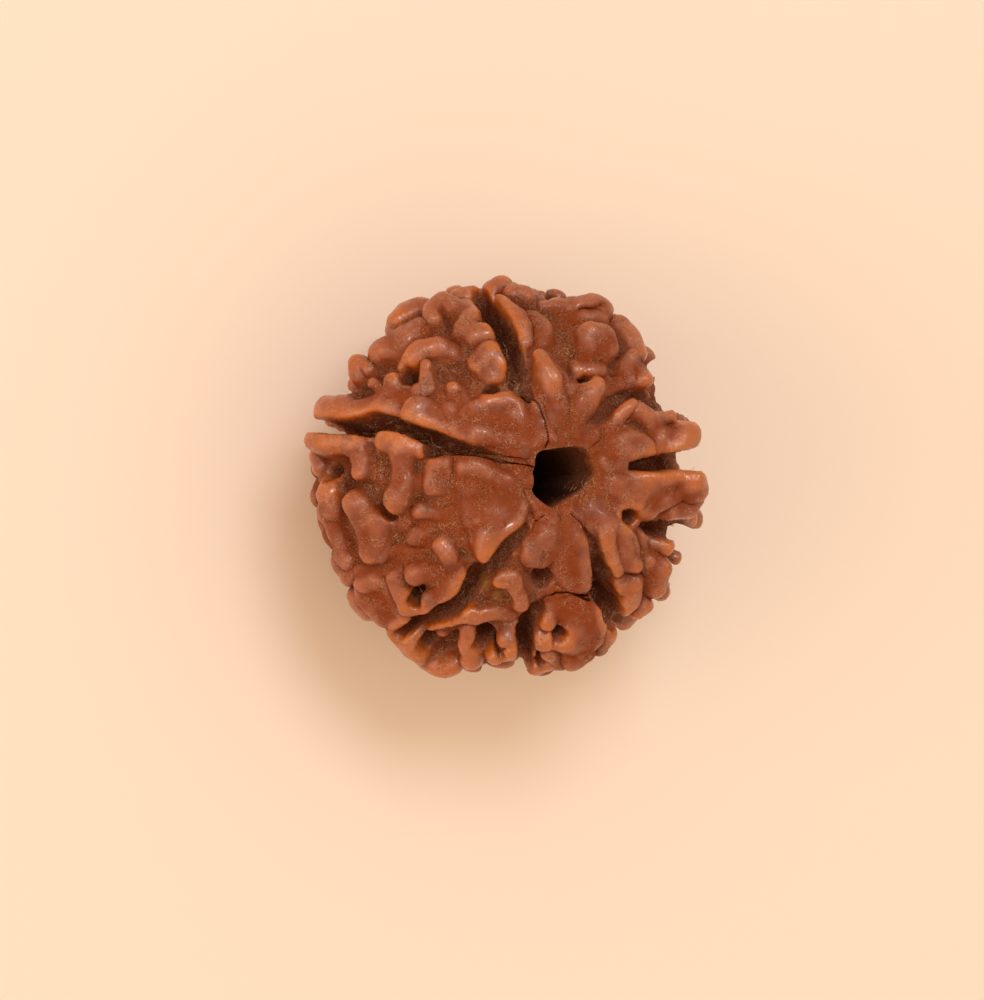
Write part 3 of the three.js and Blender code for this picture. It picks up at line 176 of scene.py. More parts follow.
    ((-12.2, 2.4, 0.45, 2.6), (-11.2, 2.2, 0.6, 2.3), (-10.2, 2.3, 0.6, 2.1), (-9.5, 1.8, 0.6, 2.1),
     (-9.25, 1.0, 0.55, 2.2), (-9.25, 0.3, 0.5, 2.2)),
    ((-12.1, 1.3, 0.3, 1.9), (-11.9, 0.6, 0.25, 1.8)),
    ((-11.4, -0.3, 0.5, 1.9), (-11.6, -1.0, 0.65, 2.2), (-11.2, -1.9, 0.5, 1.9)),
    ((-9.55, -1.7, 0.6, 2.3), (-9.2, -2.5, 0.6, 2.1), (-8.7, -3.4, 0.75, 2.0),
     (-8.5, -4.3, 0.65, 2.0), (-8.8, -5.0, 0.4, 2.0)),
    ((-8.0, -3.0, 0.6, 1.6), (-7.8, -4.0, 0.6, 1.5), (-8.0, -5.0, 0.4, 1.8)),
    ((-11.2, -2.7, 0.35, 1.7), (-10.7, -3.9, 0.35, 1.7), (-10.55, -4.9, 0.4, 1.9),
     (-10.1, -5.4, 0.4, 1.8)),
    ((-10.1, -6.35, 0.28, 1.9), (-9.2, -6.1, 0.22, 1.6), (-8.2, -6.1, 0.22, 1.4)),
    ((-9.0, -6.9, 0.3, 2.0), (-8.2, -6.8, 0.3, 1.9)),
    ((-9.6, -7.5, 0.35, 2.0), (-8.9, -8.5, 0.3, 1.8)),
    ((-7.0, -6.55, 0.28, 2.0), (-6.75, -7.3, 0.3, 2.1), (-6.4, -8.1, 0.38, 2.1),
     (-5.4, -8.0, 0.38, 2.1), (-4.4, -7.5, 0.45, 2.1), (-3.6, -6.9, 0.55, 2.1),
     (-3.25, -6.2, 0.45, 1.9), (-3.3, -5.6, 0.35, 1.7)),
    ((-4.6, -6.5, 0.6, 1.9), (-4.0, -6.1, 0.6, 1.8)),
    ((-5.75, -6.25, 0.42, 2.2), (-5.0, -6.1, 0.45, 2.0)),
    ((-4.2, -4.4, 0.32, 2.0), (-3.8, -5.0, 0.38, 2.1), (-3.6, -5.5, 0.33, 1.9)),
    ((-5.55, -3.55, 0.32, 1.2), (-5.2, -3.7, 0.28, 1.1)),
    ((-6.2, -4.7, 0.4, 0.6),),
    ((-4.6, -3.0, 0.5, 0.9), (-3.8, -2.6, 0.6, 1.0)),
    ((-3.6, -3.6, 0.4, 0.8),),
)

# Plates of the upper side. Each has how hollow its middle is, and its outline: across, up, height.
SEEN_PLATES = (
    # Triangle left of the bore
    (0.35, ((-2.8, 0.8, 1.9), (-2.0, 0.65, 1.85), (-1.0, 0.3, 1.7), (0.0, 0.0, 1.5), (0.7, -0.25, 1.3),
            (0.9, -0.9, 1.15), (1.0, -1.6, 1.2), (1.0, -2.3, 1.35), (0.7, -2.8, 1.45), (0.3, -3.3, 1.55),
            (-0.1, -4.0, 1.65), (-0.6, -4.5, 1.75), (-1.1, -4.7, 1.85), (-1.4, -5.0, 1.9), (-1.7, -4.7, 1.8),
            (-2.0, -4.2, 1.4), (-2.3, -3.4, 1.0), (-2.5, -2.6, 0.8), (-2.8, -1.5, 0.8), (-2.9, -0.5, 1.2))),
    # Wedge above the left cleft
    (0.35, ((-6.0, 3.9, 1.95), (-5.8, 4.4, 1.8), (-4.0, 4.0, 1.5), (-3.3, 4.1, 1.4), (-2.5, 4.0, 1.35),
            (-1.0, 4.8, 1.5), (0.0, 5.0, 1.6), (0.5, 4.6, 1.5), (0.9, 3.8, 1.3), (0.9, 2.7, 1.25),
            (0.7, 2.35, 1.35), (-1.5, 2.6, 1.65), (-3.5, 3.1, 1.85), (-5.0, 3.4, 1.95))),
    # Two arms above the bore
    (0.75, ((1.9, 7.4, 2.0), (2.3, 7.7, 2.0), (2.6, 7.3, 1.9), (3.0, 6.5, 1.75), (3.6, 5.5, 1.4),
           (4.9, 5.4, 1.5), (5.4, 5.8, 1.8), (5.7, 5.5, 1.75), (5.4, 4.8, 1.55), (4.8, 4.0, 1.3),
           (4.2, 3.3, 1.1), (3.6, 2.9, 1.0), (3.1, 3.0, 1.05), (2.8, 3.8, 1.25), (2.6, 4.8, 1.5),
           (2.2, 6.0, 1.8))),
    # Below the bore
    (0.3, ((3.8, -2.9, 1.1), (4.15, -3.7, 1.3), (4.6, -4.8, 1.5), (5.0, -6.2, 1.75), (5.05, -6.8, 1.8),
            (4.7, -6.95, 1.7), (4.0, -6.7, 1.5), (3.4, -6.2, 1.35), (3.1, -5.4, 1.25), (3.2, -4.5, 1.2),
            (3.4, -3.5, 1.1))),
    # Blade above the right cleft
    (0.25, ((6.2, 1.85, 1.2), (6.7, 2.2, 1.35), (7.5, 2.55, 1.5), (8.3, 2.55, 1.7), (8.8, 2.3, 1.85),
           (9.05, 1.95, 1.9), (8.9, 1.7, 1.9), (8.3, 1.6, 1.8), (7.5, 1.6, 1.6), (6.8, 1.55, 1.35))),
    # Broad face right of the bore
    (0.3, ((5.8, -0.3, 1.05), (7.0, -0.35, 1.25), (8.2, 0.0, 1.55), (9.4, 0.1, 1.85), (10.1, -0.1, 1.95),
            (10.1, -1.1, 1.9), (9.6, -1.8, 1.8), (8.9, -2.3, 1.7), (8.3, -1.9, 1.6), (7.6, -1.3, 1.4),
            (6.6, -0.85, 1.2))),
    # Claw
    (0.45, ((5.3, -2.3, 1.15), (5.9, -2.55, 1.35), (6.5, -2.8, 1.4), (7.2, -3.1, 1.4), (7.8, -3.7, 1.45),
            (7.9, -4.6, 1.55), (8.05, -5.3, 1.8), (7.4, -5.5, 1.8), (6.95, -5.8, 1.95), (6.6, -5.2, 1.9),
            (6.4, -4.2, 1.85), (6.2, -3.4, 1.65), (5.8, -2.8, 1.4))),
    # Big lobe at the bottom
    (0.25, ((3.3, -7.7, 1.5), (4.2, -7.6, 1.75), (5.1, -7.8, 1.95), (5.7, -8.6, 2.05), (5.9, -9.5, 2.1),
           (5.7, -10.3, 2.1), (5.1, -10.9, 2.0), (4.3, -10.8, 1.9), (4.0, -10.0, 1.75), (3.9, -9.2, 1.6),
           (3.2, -8.7, 1.4))),
    # Small plate left of the triangle
    (0.15, ((-4.75, 0.4, 1.85), (-4.3, 0.95, 1.95), (-3.8, 1.0, 1.8), (-3.7, 0.1, 1.45), (-3.8, -1.0, 1.3),
           (-4.9, -0.95, 1.9), (-5.0, -0.6, 1.95))),
    # Broad plate at the lower left
    (0.25, ((-9.3, -6.7, 1.9), (-8.5, -6.5, 1.9), (-7.6, -6.7, 1.8), (-7.2, -7.4, 1.7), (-6.8, -8.3, 1.8),
            (-6.4, -8.9, 1.9), (-7.2, -9.3, 2.0), (-8.0, -9.2, 2.0), (-8.7, -8.4, 2.0), (-9.3, -7.5, 1.9))),
    # Leaning plate at the left
    (0.3, ((-9.9, -1.6, 2.2), (-9.4, -1.35, 2.15), (-8.9, -2.0, 2.0), (-8.4, -2.8, 1.7), (-7.6, -3.4, 1.35),
            (-7.5, -4.4, 1.3), (-7.9, -5.1, 1.65), (-8.6, -5.2, 1.9), (-9.0, -4.8, 1.95), (-9.0, -3.8, 2.0),
            (-9.4, -2.8, 2.1))),
)

# Pits of the upper side: across, up, radius, depth.
SEEN_PITS = (
    (-6.0, 6.2, 0.5, 1.2), (4.65, 6.0, 0.32, 1.2), (-0.75, 9.6, 0.35, 1.6),
    (7.6, -2.4, 0.5, 2.2), (10.2, 3.65, 0.4, 0.9), (-10.9, 0.2, 0.4, 0.9), (-5.5, -7.25, 0.45, 1.4),
    (3.1, -9.6, 0.45, 1.5), (2.1, -11.15, 0.35, 1.3), (3.75, -11.7, 0.3, 1.0), (-1.4, -10.15, 0.55, 2.3),
    (-3.75, -10.6, 0.65, 2.4), (-5.0, -10.25, 0.4, 1.8), (-7.4, -2.0, 0.45, 1.3), (6.2, -8.2, 0.6, 1.9),
    (-0.5, -10.5, 0.3, 1.0), (-1.0, 5.5, 0.4, 0.5), (-4.7, 1.6, 0.4, 0.9), (2.3, -6.3, 0.5, 0.7),
)

# Clefts between the faces of the upper side: across, up, half-width, how deep they cut (1 is to the floor).
SEEN_CLEFTS = (
    ((-0.4, 1.15, 0.08, 0.15), (-1.4, 1.3, 0.15, 0.5), (-2.5, 1.6, 0.25, 0.9), (-3.6, 2.0, 0.25, 1.2),
     (-5.0, 2.5, 0.28, 1.3), (-6.4, 3.0, 0.32, 1.35), (-7.8, 3.25, 0.4, 1.4), (-9.2, 3.05, 0.38, 1.4),
     (-10.2, 2.95, 0.32, 1.4), (-11.2, 2.95, 0.3, 1.3), (-12.2, 3.1, 0.3, 1.3)),
    ((1.5, 4.9, 0.1, 0.2), (0.95, 5.7, 0.3, 0.6), (0.55, 6.5, 0.4, 0.9), (0.25, 7.4, 0.42, 1.05),
     (-0.1, 8.4, 0.42, 1.2), (-0.6, 9.4, 0.42, 1.3), (-1.2, 10.3, 0.38, 1.2), (-1.7, 11.2, 0.3, 1.0)),
    ((5.2, 2.9, 0.15, 0.15), (5.7, 3.7, 0.2, 0.25), (6.3, 4.5, 0.25, 0.35), (7.1, 5.0, 0.28, 0.45),
     (7.9, 5.15, 0.28, 0.6), (8.6, 4.95, 0.32, 0.95), (9.3, 4.6, 0.4, 1.3)),
    ((7.6, 0.85, 0.15, 0.4), (8.3, 0.8, 0.3, 0.9), (9.1, 0.85, 0.38, 1.2), (9.8, 1.0, 0.45, 1.5),
     (10.6, 1.0, 0.5, 2.0), (11.6, 1.05, 0.5, 2.0)),
    ((8.6, -3.0, 0.2, 0.4), (9.1, -3.2, 0.3, 0.8), (9.7, -3.3, 0.3, 1.1), (10.4, -3.4, 0.3, 1.2)),
    ((4.7, -3.3, 0.1, 0.15), (5.2, -4.1, 0.25, 0.35), (5.6, -5.0, 0.35, 0.5), (5.8, -6.0, 0.4, 0.8),
     (6.0, -7.0, 0.45, 1.15), (6.15, -7.9, 0.5, 1.4), (6.4, -8.9, 0.35, 1.2)),
    ((1.0, -3.2, 0.12, 0.3), (0.3, -3.9, 0.28, 0.6), (-0.4, -4.8, 0.35, 0.8), (-1.2, -5.6, 0.4, 0.9),
     (-2.0, -6.4, 0.42, 1.0), (-2.6, -7.2, 0.4, 1.1), (-3.3, -7.95, 0.35, 1.15), (-4.5, -8.45, 0.3, 1.2),
     (-5.9, -8.95, 0.25, 1.1), (-6.6, -9.25, 0.2, 0.7)),
    ((2.2, -8.0, 0.2, 0.5), (1.3, -8.8, 0.3, 0.8), (1.0, -9.6, 0.35, 1.0), (1.0, -10.6, 0.35, 1.2),
     (1.0, -11.4, 0.35, 1.3)),
)

# Clefts of the lower side: bearing and latitude in degrees of their start, and their half-width there.
LOWER_CLEFTS = (
    (165, -20, 0.6), (98, -14, 0.35), (28.5, 18, 0.8), (5.5, 20, 0.5), (-18.5, 19, 0.6), (-56, 11, 0.5),
    (-85, 2, 0.35), (-126, -12, 0.45),
)

# Drying cracks: half-width, depth, how high the stone stands there, and points across, up.
CRACKS = (
    (0.052, 0.26, 1.2, ((2.2, 1.9), (2.45, 2.3), (2.5, 2.8), (2.4, 3.3), (2.2, 3.8), (1.9, 4.35), (1.5, 4.9),
                        (1.0, 5.5), (0.8, 6.0))),
    (0.05, 0.24, 1.0, ((-3.4, 1.35), (-2.4, 1.2), (-1.2, 1.05), (0.2, 0.95), (1.5, 0.75))),
    (0.03, 0.12, 1.0, ((-2.0, 1.55), (-0.8, 1.35), (0.4, 1.3), (1.45, 1.15))),
    (0.03, 0.12, 1.0, ((3.75, -2.1), (4.3, -2.7), (4.6, -3.2), (4.8, -3.7))),
    (0.026, 0.08, 1.0, ((2.2, -2.2), (1.7, -2.7), (1.35, -3.2))),
    (0.048, 0.24, 1.5, ((2.0, -8.0), (2.6, -7.4), (3.2, -7.05), (4.0, -7.1), (5.2, -7.35))),
    (0.026, 0.08, 1.0, ((4.6, 1.6), (5.2, 2.2), (5.5, 2.9))),
)

# Yellowish stains: across, up, radius.
STAINS = ((-1.45, -7.0, 0.28), (-0.7, -7.6, 0.22))

# Where fibres crowd: across, up, radius.
TUFTS = (
    (-0.5, 8.9, 0.45), (0.4, 7.1, 0.5), (-0.1, 6.2, 0.5), (-6.3, 2.9, 0.8), (-8.0, 3.2, 0.6),
    (4.9, -0.6, 0.4), (2.6, -8.9, 0.25), (-4.9, 1.6, 0.4),
)

# Notches of the outline: angle from the right in degrees, half-width, how deep.
LIMB_NOTCHES = (
    (22, 0.3, 0.6), (27, 0.45, 1.0), (36, 0.4, 0.9), (56, 0.2, 0.5), (70, 0.2, 0.4), (78.5, 0.3, 0.6),
    (115.5, 0.25, 0.6), (131, 0.3, 0.7), (139, 0.35, 0.7), (151, 0.35, 0.9), (-15.5, 0.35, 0.7),
    (-27.5, 0.35, 0.7), (-40, 0.2, 0.5), (-52, 0.4, 1.0), (-84.5, 0.3, 0.8), (-104, 0.2, 0.3),
    (-145, 0.25, 0.6),
)

# How far below the limb the points of a notch lie, in degrees.
NOTCH_FALLS = (-3, 8, 19, 30)

# Mouth of the bore round its axis.
BORE_MOUTH = (
    (-1.8, 1.5), (-0.85, 1.75), (0.5, 1.9), (1.4, 1.8), (1.7, 1.4), (2.2, 0.3),
    (1.5, -0.7), (0, -1.5), (-0.75, -1.95), (-1.7, -1.2), (-2.1, -0.8), (-1.9, 0.9),
)


class Colour(Enum):
    """Colours of the seed, as linear red, green and blue."""

    CREST = (0.42, 0.086, 0.005)
    CREST_WORN = (0.56, 0.14, 0.013)
    FLANK = (0.245, 0.042, 0.006)
    VALLEY = (0.19, 0.028, 0.0035)
    BRUISE = (0.155, 0.034, 0.016)
    BLOOM = (0.50, 0.22, 0.13)
    # Painted shade of clefts, pits, creases and the lowest places; also the colour of the dark specks.
    CLEFT = (0.075, 0.0085, 0.001)
    DUST = (0.25, 0.076, 0.028)
    # Painted shade in the cracks and on the far side of the bore.
    CRACK = (0.02, 0.0035, 0.001)
    STAIN = (0.34, 0.17, 0.03)
    # Painted light on the lit side of the bore's wall.
    BORE = (0.42, 0.17, 0.07)
    SPECK = (0.60, 0.32, 0.20)
    FIBRE = (0.52, 0.34, 0.17)


@dataclass(frozen=True)
class Layer:
    """One layer of lattice noise.

    Attributes:
        size: Size of its cells in millimetres.
        seed: Which noise.
        share: How strongly it counts.
    """

    size: float
    seed: int
    share: float = 1.0


WARP = (Layer(1.5, 11), Layer(0.7, 21, 0.5))
SKIN = (Layer(0.55, 31), Layer(0.28, 32, 0.6))
SKIN_SWELL = Layer(1.3, 33, 0.05)
BORE_WALL = (Layer(0.8, 41, 0.035), Layer(0.35, 42, 0.02))
CREST_LUMPS = (Layer(2.1, 51), Layer(1.1, 52, 0.5))
VALLEY_LUMPS = (Layer(1.0, 53), Layer(0.5, 54, 0.6))
WALLS = Layer(2.5, 55)
MASSES = Layer(3.2, 56)
HAMMER = (Layer(0.9, 57), Layer(0.5, 58, 0.6))
DEBRIS_PATCHES = Layer(1.6, 61)


@dataclass(frozen=True)
class StoneSizes:
    """Driving sizes of the stone, in millimetres where they are lengths.

    Attributes:
        floor_radii: Of the ellipsoid of valley floors.
        floor_swell: Slow rise and fall of the floors.
        wall: Width of a crest's wall.
        wall_edge: Share of a crest's half-width that is its rounded top.
        wall_growth: Wall width of the thinnest crest, as a share of the usual one.
        wall_limits: Narrowest and widest wall, as shares of the usual one.
        slimness: Width of the seen crests against their listed width.
        plate_width: How far a plate's rim lies past its outline.
        plate_softness: How closely a plate keeps to its corners' heights (smaller is closer).
        skirt: How far the low foot of a crest reaches.
        cap_share: Share of a crest's height that is cap, the rest being its foot.
        usual_top: Height of the crests, where none is near.
        far_out: How far out a place is, where no crest is near (1 is at the wall's foot).
        mass_reach: How far crests raise the ground round them.
        mass_share: How much of their height they add to it.
        mass_limit: Most that the ground rises.
        mass_change: How unevenly it rises.
        least_rise: Least height of a crest over its ground.
        rim_rise: Extra height of the crests near the limb.
        rim_edges: Where that starts and ends, from the view's middle.
        plate_dip: How far in from its rim a plate is hollow.
        pit_level: Height at which the camera sees pits and clefts.
        pit_share: Depth of a pit under the floor, as a share of its listed depth.
        pit_shade: How dark the painted shade of a deep pit is, as in a cleft.
        pit_depths: Depths from which a pit gets painted shade at all, and fully.
        unevenness: Of the crests' height.
        valley_lumps: Height of the lumps in the valleys.
        valley_edges: Share of a crest's height where the valley ends and where it is full.
        hammered: Depth of the dents on crests and plates.
        wall_change: How unevenly wide the walls are.
        collar_rise: Height of the ground round the bore.
        collar_edges: Radii where that collar is full and where it ends.
        fillet: Where two crests meet.
        cleft_level: Level of a full cleft's bottom.
        cleft_edge: Width of its edge.
        cleft_extra: How much deeper a cleft of twice the full depth is.
        lower_cleft_depth: Of the clefts of the lower side, where 1 is full.
        crack_end: Depth of a crack at its far end, as a share.
        crack_shown: Depth from which a crack gets its full painted shade.
        foot_level: Level of the ground under the stone's own middle.
        middle: Middle of its box from its own middle.
        undercut: How far the crests overhang their valleys.
        wander: How far the relief is shifted, so that no line runs straight.
        bore_waist: Width of the bore at its middle, as a share of its mouth.
        skin: Roughness of the crests, and what the valleys add to it.
    """

    floor_radii: tuple[float, float, float] = (10.8, 10.7, 9.0)
    floor_swell: float = 0.12
    wall: float = 0.72
    wall_edge: float = 0.35
    wall_growth: float = 0.5
    wall_limits: tuple[float, float] = (0.6, 1.4)
    slimness: float = 0.68
    plate_width: float = -0.1
    plate_softness: float = 0.05
    skirt: float = 1.6
    cap_share: float = 0.64
    usual_top: float = 1.6
    far_out: float = 2.0
    mass_reach: float = 2.6
    mass_share: float = 0.22
    mass_limit: float = 0.85
    mass_change: float = 0.4
    least_rise: float = 0.05
    rim_rise: float = 0.42
    rim_edges: tuple[float, float] = (8.5, 11.5)
    plate_dip: float = 0.7
    pit_level: float = 1.4
    pit_share: float = 0.6
    pit_shade: float = 1.2
    pit_depths: tuple[float, float] = (0.3, 1)
    unevenness: float = 0.13
    valley_lumps: float = 0.27
    valley_edges: tuple[float, float] = (0.75, 0.3)
    hammered: float = 0.08
    wall_change: float = 0.4
    collar_rise: float = 1.1
    collar_edges: tuple[float, float] = (2.8, 5.8)
    fillet: float = 0.35
    cleft_level: float = -0.35
    cleft_edge: float = 0.3
    cleft_extra: float = 0.5
    lower_cleft_depth: float = 1.15
    crack_end: float = 0.3
    crack_shown: float = 0.1
    foot_level: float = -9.65
    middle: tuple[float, float] = (-0.28, 0.02)
    undercut: float = 0.2
    wander: float = 0.16
    bore_waist: float = 0.82
    skin: tuple[float, float] = (0.025, 0.06)


@dataclass(frozen=True)
class LowerRule:
    """The seeded rule that lays the crests of the lower side, in millimetres and degrees.

    Attributes:
        cleft_wander: How far a cleft sways to a side.
        cleft_straight: Length over which it doesn't sway.
        cleft_stride: Between two of its points.
        cleft_end: Its half-width at the pole.
        cleft_gap: Room between a crest and a cleft.
        pole_latitude: Where the clefts end.
        petal_starts: Cosine of the latitude of a petal's inner end.
        petal_ends: Cosine of the latitude of its outer end.
        petal_sways: How far its three points lie to a side.
        petal_widths: Half-widths of a slim petal at these points.
        petal_broadening: What a broad one adds to them.
        petal_heights: Its heights there.
        seed: First state of the draws.
        tries: How many crests are tried.
        step: Between two points of a crest.
        gap: Room between two crests.
        limb: Crests that face the camera more than this are not laid by the rule.
        pole_rise: Crests lower than this are not laid, to leave the pole to the petals.
        rises: Lowest and highest start of a crest, as a share of the radius.
        widths: Smallest and largest half-width.
        late_width: Share of it, once the first third of the tries has laid the bold crests.
        waist: Share of it at every second point.
        heights: Lowest and highest crest.
        bends: Turns of a crest from one point to the next, in radians.
        counts: Fewest and most points of a crest.
        pole_drop: How much lower crests get towards the pole, and from which share of the radius.
        limb_drop: How much lower they get towards the limb, and from which share.
    """

    cleft_wander: float = 5.0
    cleft_straight: float = 16
    cleft_stride: float = 8
    cleft_end: float = 0.35
    cleft_gap: float = 0.6
    pole_latitude: float = -72.0
    petal_starts: float = 0.34
    petal_ends: float = 0.6
    petal_sways: tuple[float, float, float] = (-4, 3, -2)
    petal_widths: tuple[float, float, float] = (0.35, 0.4, 0.3)
    petal_broadening: tuple[float, float, float] = (0.2, 0.5, 0.3)
    petal_heights: tuple[float, float, float] = (1.3, 1.6, 1.8)
    seed: int = 20261
    tries: int = 5200
    step: float = 0.85
    gap: float = 0.42
    limb: float = 0.02
    pole_rise: float = -0.96
    rises: tuple[float, float] = (-1, 0.5)
    widths: tuple[float, float] = (0.28, 0.72)
    late_width: float = 0.75
    waist: float = 0.88
    heights: tuple[float, float] = (1.65, 2.25)
    bends: tuple[float, float] = (-0.75, 0.75)
    counts: tuple[float, float] = (1, 5.99)
    pole_drop: tuple[float, float] = (0.5, 0.5)
    limb_drop: tuple[float, float] = (2.0, 0.35)


@dataclass(frozen=True)
class PaintSizes:
    """How the finished stone is read for its material and its debris, in millimetres.

    Attributes:
        rounds: Steps of the search for a point's height over the floor.
        deepest: Most height or depth that it finds.
        bore_height: The bore's wall lies deeper than this.
        bore_radius: It lies within this of the axis.
        seen_height: Cracks and debris lie higher than this.
        relief_range: Least and most share of a crest's height.
        lit_lean: How far the lit side of the bore turns from the right to the back.
        lit_edges: From where on the bore's wall is lit, and fully.
        mouth_width: Width of the dusty rim round the bore.
        near_rounds: Rounds of blur that take out the skin's roughness.
        wide_rounds: Rounds of blur that take out crests and valleys.
        fine_rounds: Rounds of blur that keep creases.
        crease_rounds: Rounds that a crease is compared with.
        edge_rounds: Rounds that an edge is compared with.
        hollow_depth: Depth of a full hollow.
        ridge_height: Height of a full ridge.
        crease_depth: Depth of a full crease.
        edge_height: Height of a full edge.
        debris_hollows: Hollows where debris begins to lie, and where it is full.
        debris_clefts: The same for clefts.
        cleft_share: How much debris lies in a cleft, against a hollow.
        patch_edges: Noise where debris begins to lie, and where it is full.
        lowest_debris: Debris lies higher than this.
        mouth_level: Debris in the bore lies higher than this.
        mouth_share: How much debris lies in the bore's mouth.
        tuft_share: How much lies in a tuft.
        debris_edges: Radii where it ends and where it is full.
    """

    rounds: int = 6
    deepest: float = 4
    bore_height: float = -0.6
    bore_radius: float = 3.2
    seen_height: float = -1
    relief_range: tuple[float, float] = (-0.5, 1.2)
    lit_lean: float = 0.6
    lit_edges: tuple[float, float] = (0.3, 1.4)
    mouth_width: float = 0.6
    near_rounds: int = 3
    wide_rounds: int = 30
    fine_rounds: int = 1
    crease_rounds: int = 10
    edge_rounds: int = 8
    hollow_depth: float = 0.8
    ridge_height: float = 0.45
    crease_depth: float = 0.3
    edge_height: float = 0.22
    debris_hollows: tuple[float, float] = (0.1, 0.6)
    debris_clefts: tuple[float, float] = (0.5, 1.1)
    cleft_share: float = 1.5
    patch_edges: tuple[float, float] = (-0.35, 0.15)
    lowest_debris: float = -7
    mouth_level: float = 6.5
    mouth_share: float = 0.7
    tuft_share: float = 8
    debris_edges: tuple[float, float] = (11.2, 10.0)


@dataclass(frozen=True)
class Crest:
    """A crest, a cleft or a crack on the floor.

    Attributes:
        line: Its floor points.
        widths: Its half-width at each of them.
        heights: Its height there, or its depth.
        centre: Middle of a sphere that holds it.
        reach: Radius of that sphere.
    """

    line: Array
    widths: Array
    heights: Array
    centre: Array
    reach: float


@dataclass(frozen=True)
class Plate:
    """A plate on the floor.

    Attributes:
        centre: Its middle.
        plane: Two unit vectors of the plane that touches the floor there.
        outline: Its corners in that plane.
        heights: The corners' heights.
        hollow: How deep its middle dips.
        reach: Radius of a sphere that holds it.
    """

    centre: Array
    plane: Array
    outline: Array
    heights: Array
    hollow: float
    reach: float


STONE = StoneSizes()
LOWER = LowerRule()
PAINT = PaintSizes()
RADII = np.array(STONE.floor_radii)


DRAW_FACTOR = 16807
DRAW_MODULUS = 2 ** 31 - 1


def seeded_draws(seed: int) -> Callable[[float, float], float]:
    """Make a source of minimal-standard random numbers, the same on every run.

    Args:
        seed: First state.

    Returns:
        A function that draws one number between a low and a high value.
    """
    state = seed

    def draw(low: float, high: float) -> float:
        """Draw the next number."""
        nonlocal state
        state = state * DRAW_FACTOR % DRAW_MODULUS
        return low + (high - low) * state / DRAW_MODULUS

    return draw


def direction_seen_at(across: float, up: float, height: float) -> Array:
    """Find the direction of a crest that the camera sees at a place.

    Args:
        across: Millimetres right of the stone's middle.
        up: Millimetres above it.
        height: Height of the crest over the floor. A point beyond the limb is drawn in to it.

    Returns:
        A unit vector.
    """
    radii = RADII + height
    sight = TOWARDS / radii
    start = (across * RIGHT + up * UP) / radii
    along = sight @ start
    length = sight @ sight
    reach = along * along / length - start @ start + 1
    forward = (math.sqrt(max(reach, 0.0) * length) - along) / length
    place = start + forward * sight
    return place / np.linalg.norm(place)


def direction_of(bearing: float, latitude: float) -> Array:
    """Turn a bearing and a latitude in degrees into a unit vector."""
    turn = math.radians(bearing)
    rise = math.radians(latitude)
    return np.array([math.cos(rise) * math.cos(turn), math.cos(rise) * math.sin(turn), math.sin(rise)])


def nearest_on(line: Array, points: Array) -> tuple[Array, Array, Array]:
    """Find the nearest place on a line of points.

    Args:
        line: Points of the line, one a row.
        points: Points to measure from, one a row.

    Returns:
        Distances, the index of the segment's first point, and the share along that segment.
    """
    distance = np.linalg.norm(points - line[0], axis=1)
    index = np.zeros(len(points), int)
    share = np.zeros(len(points))
    for start in range(len(line) - 1):
        step = line[start + 1] - line[start]
        offset = points - line[start]
        along = np.clip(offset @ step / (step @ step), 0, 1)
        gap = np.linalg.norm(offset - along[:, None] * step, axis=1)
        closer = gap < distance
        distance[closer] = gap[closer]
        index[closer] = start
        share[closer] = along[closer]
    return distance, index, share


def smooth_step(low: float, high: float, value: Array) -> Array:
    """Ease from 0 to 1 as a value goes from low to high."""
    share = np.clip((value - low) / (high - low), 0, 1)
    return share * share * (3 - 2 * share)


def value_noise(points: Array, size: float, seed: int) -> Array:
    """Smooth lattice noise between -1 and 1.

    Args:
        points: Points in millimetres, one a row.
        size: Size of one lattice cell in millimetres.
        seed: Which noise.

    Returns:
        One number a point.
    """
    scaled = points / size + 97.3
    cell = np.floor(scaled).astype(np.int64)
    part = scaled - cell
    part = part * part * (3 - 2 * part)
    total = np.zeros(len(points))
    for corner in range(8):
        step = np.array([corner & 1, corner >> 1 & 1, corner >> 2 & 1])
        key = (cell + step) @ np.array([73856093, 19349663, 83492791]) + seed * 2654435761
        key = (key ^ (key >> 13)) * 1274126177 & 0x7FFFFFFF
        key = (key ^ (key >> 15)) * 1103515245 & 0x7FFFFFFF
        weight = np.prod(np.where(step == 1, part, 1 - part), axis=1)
        total += weight * (key / 0x3FFFFFFF - 1)
    return total


def layered(points: Array, layers: Sequence[Layer], start: float | Array = 0.0, shift: int = 0) -> Array:
    """Add layers of noise.

    Args:
        points: Points in millimetres, one a row.
        layers: What is added.
        start: What it is added to.
        shift: Added to each layer's seed.

    Returns:
        One number a point.
    """
    total = start
    for layer in layers:
        total = total + layer.share * value_noise(points, layer.size, layer.seed + shift)
    return total


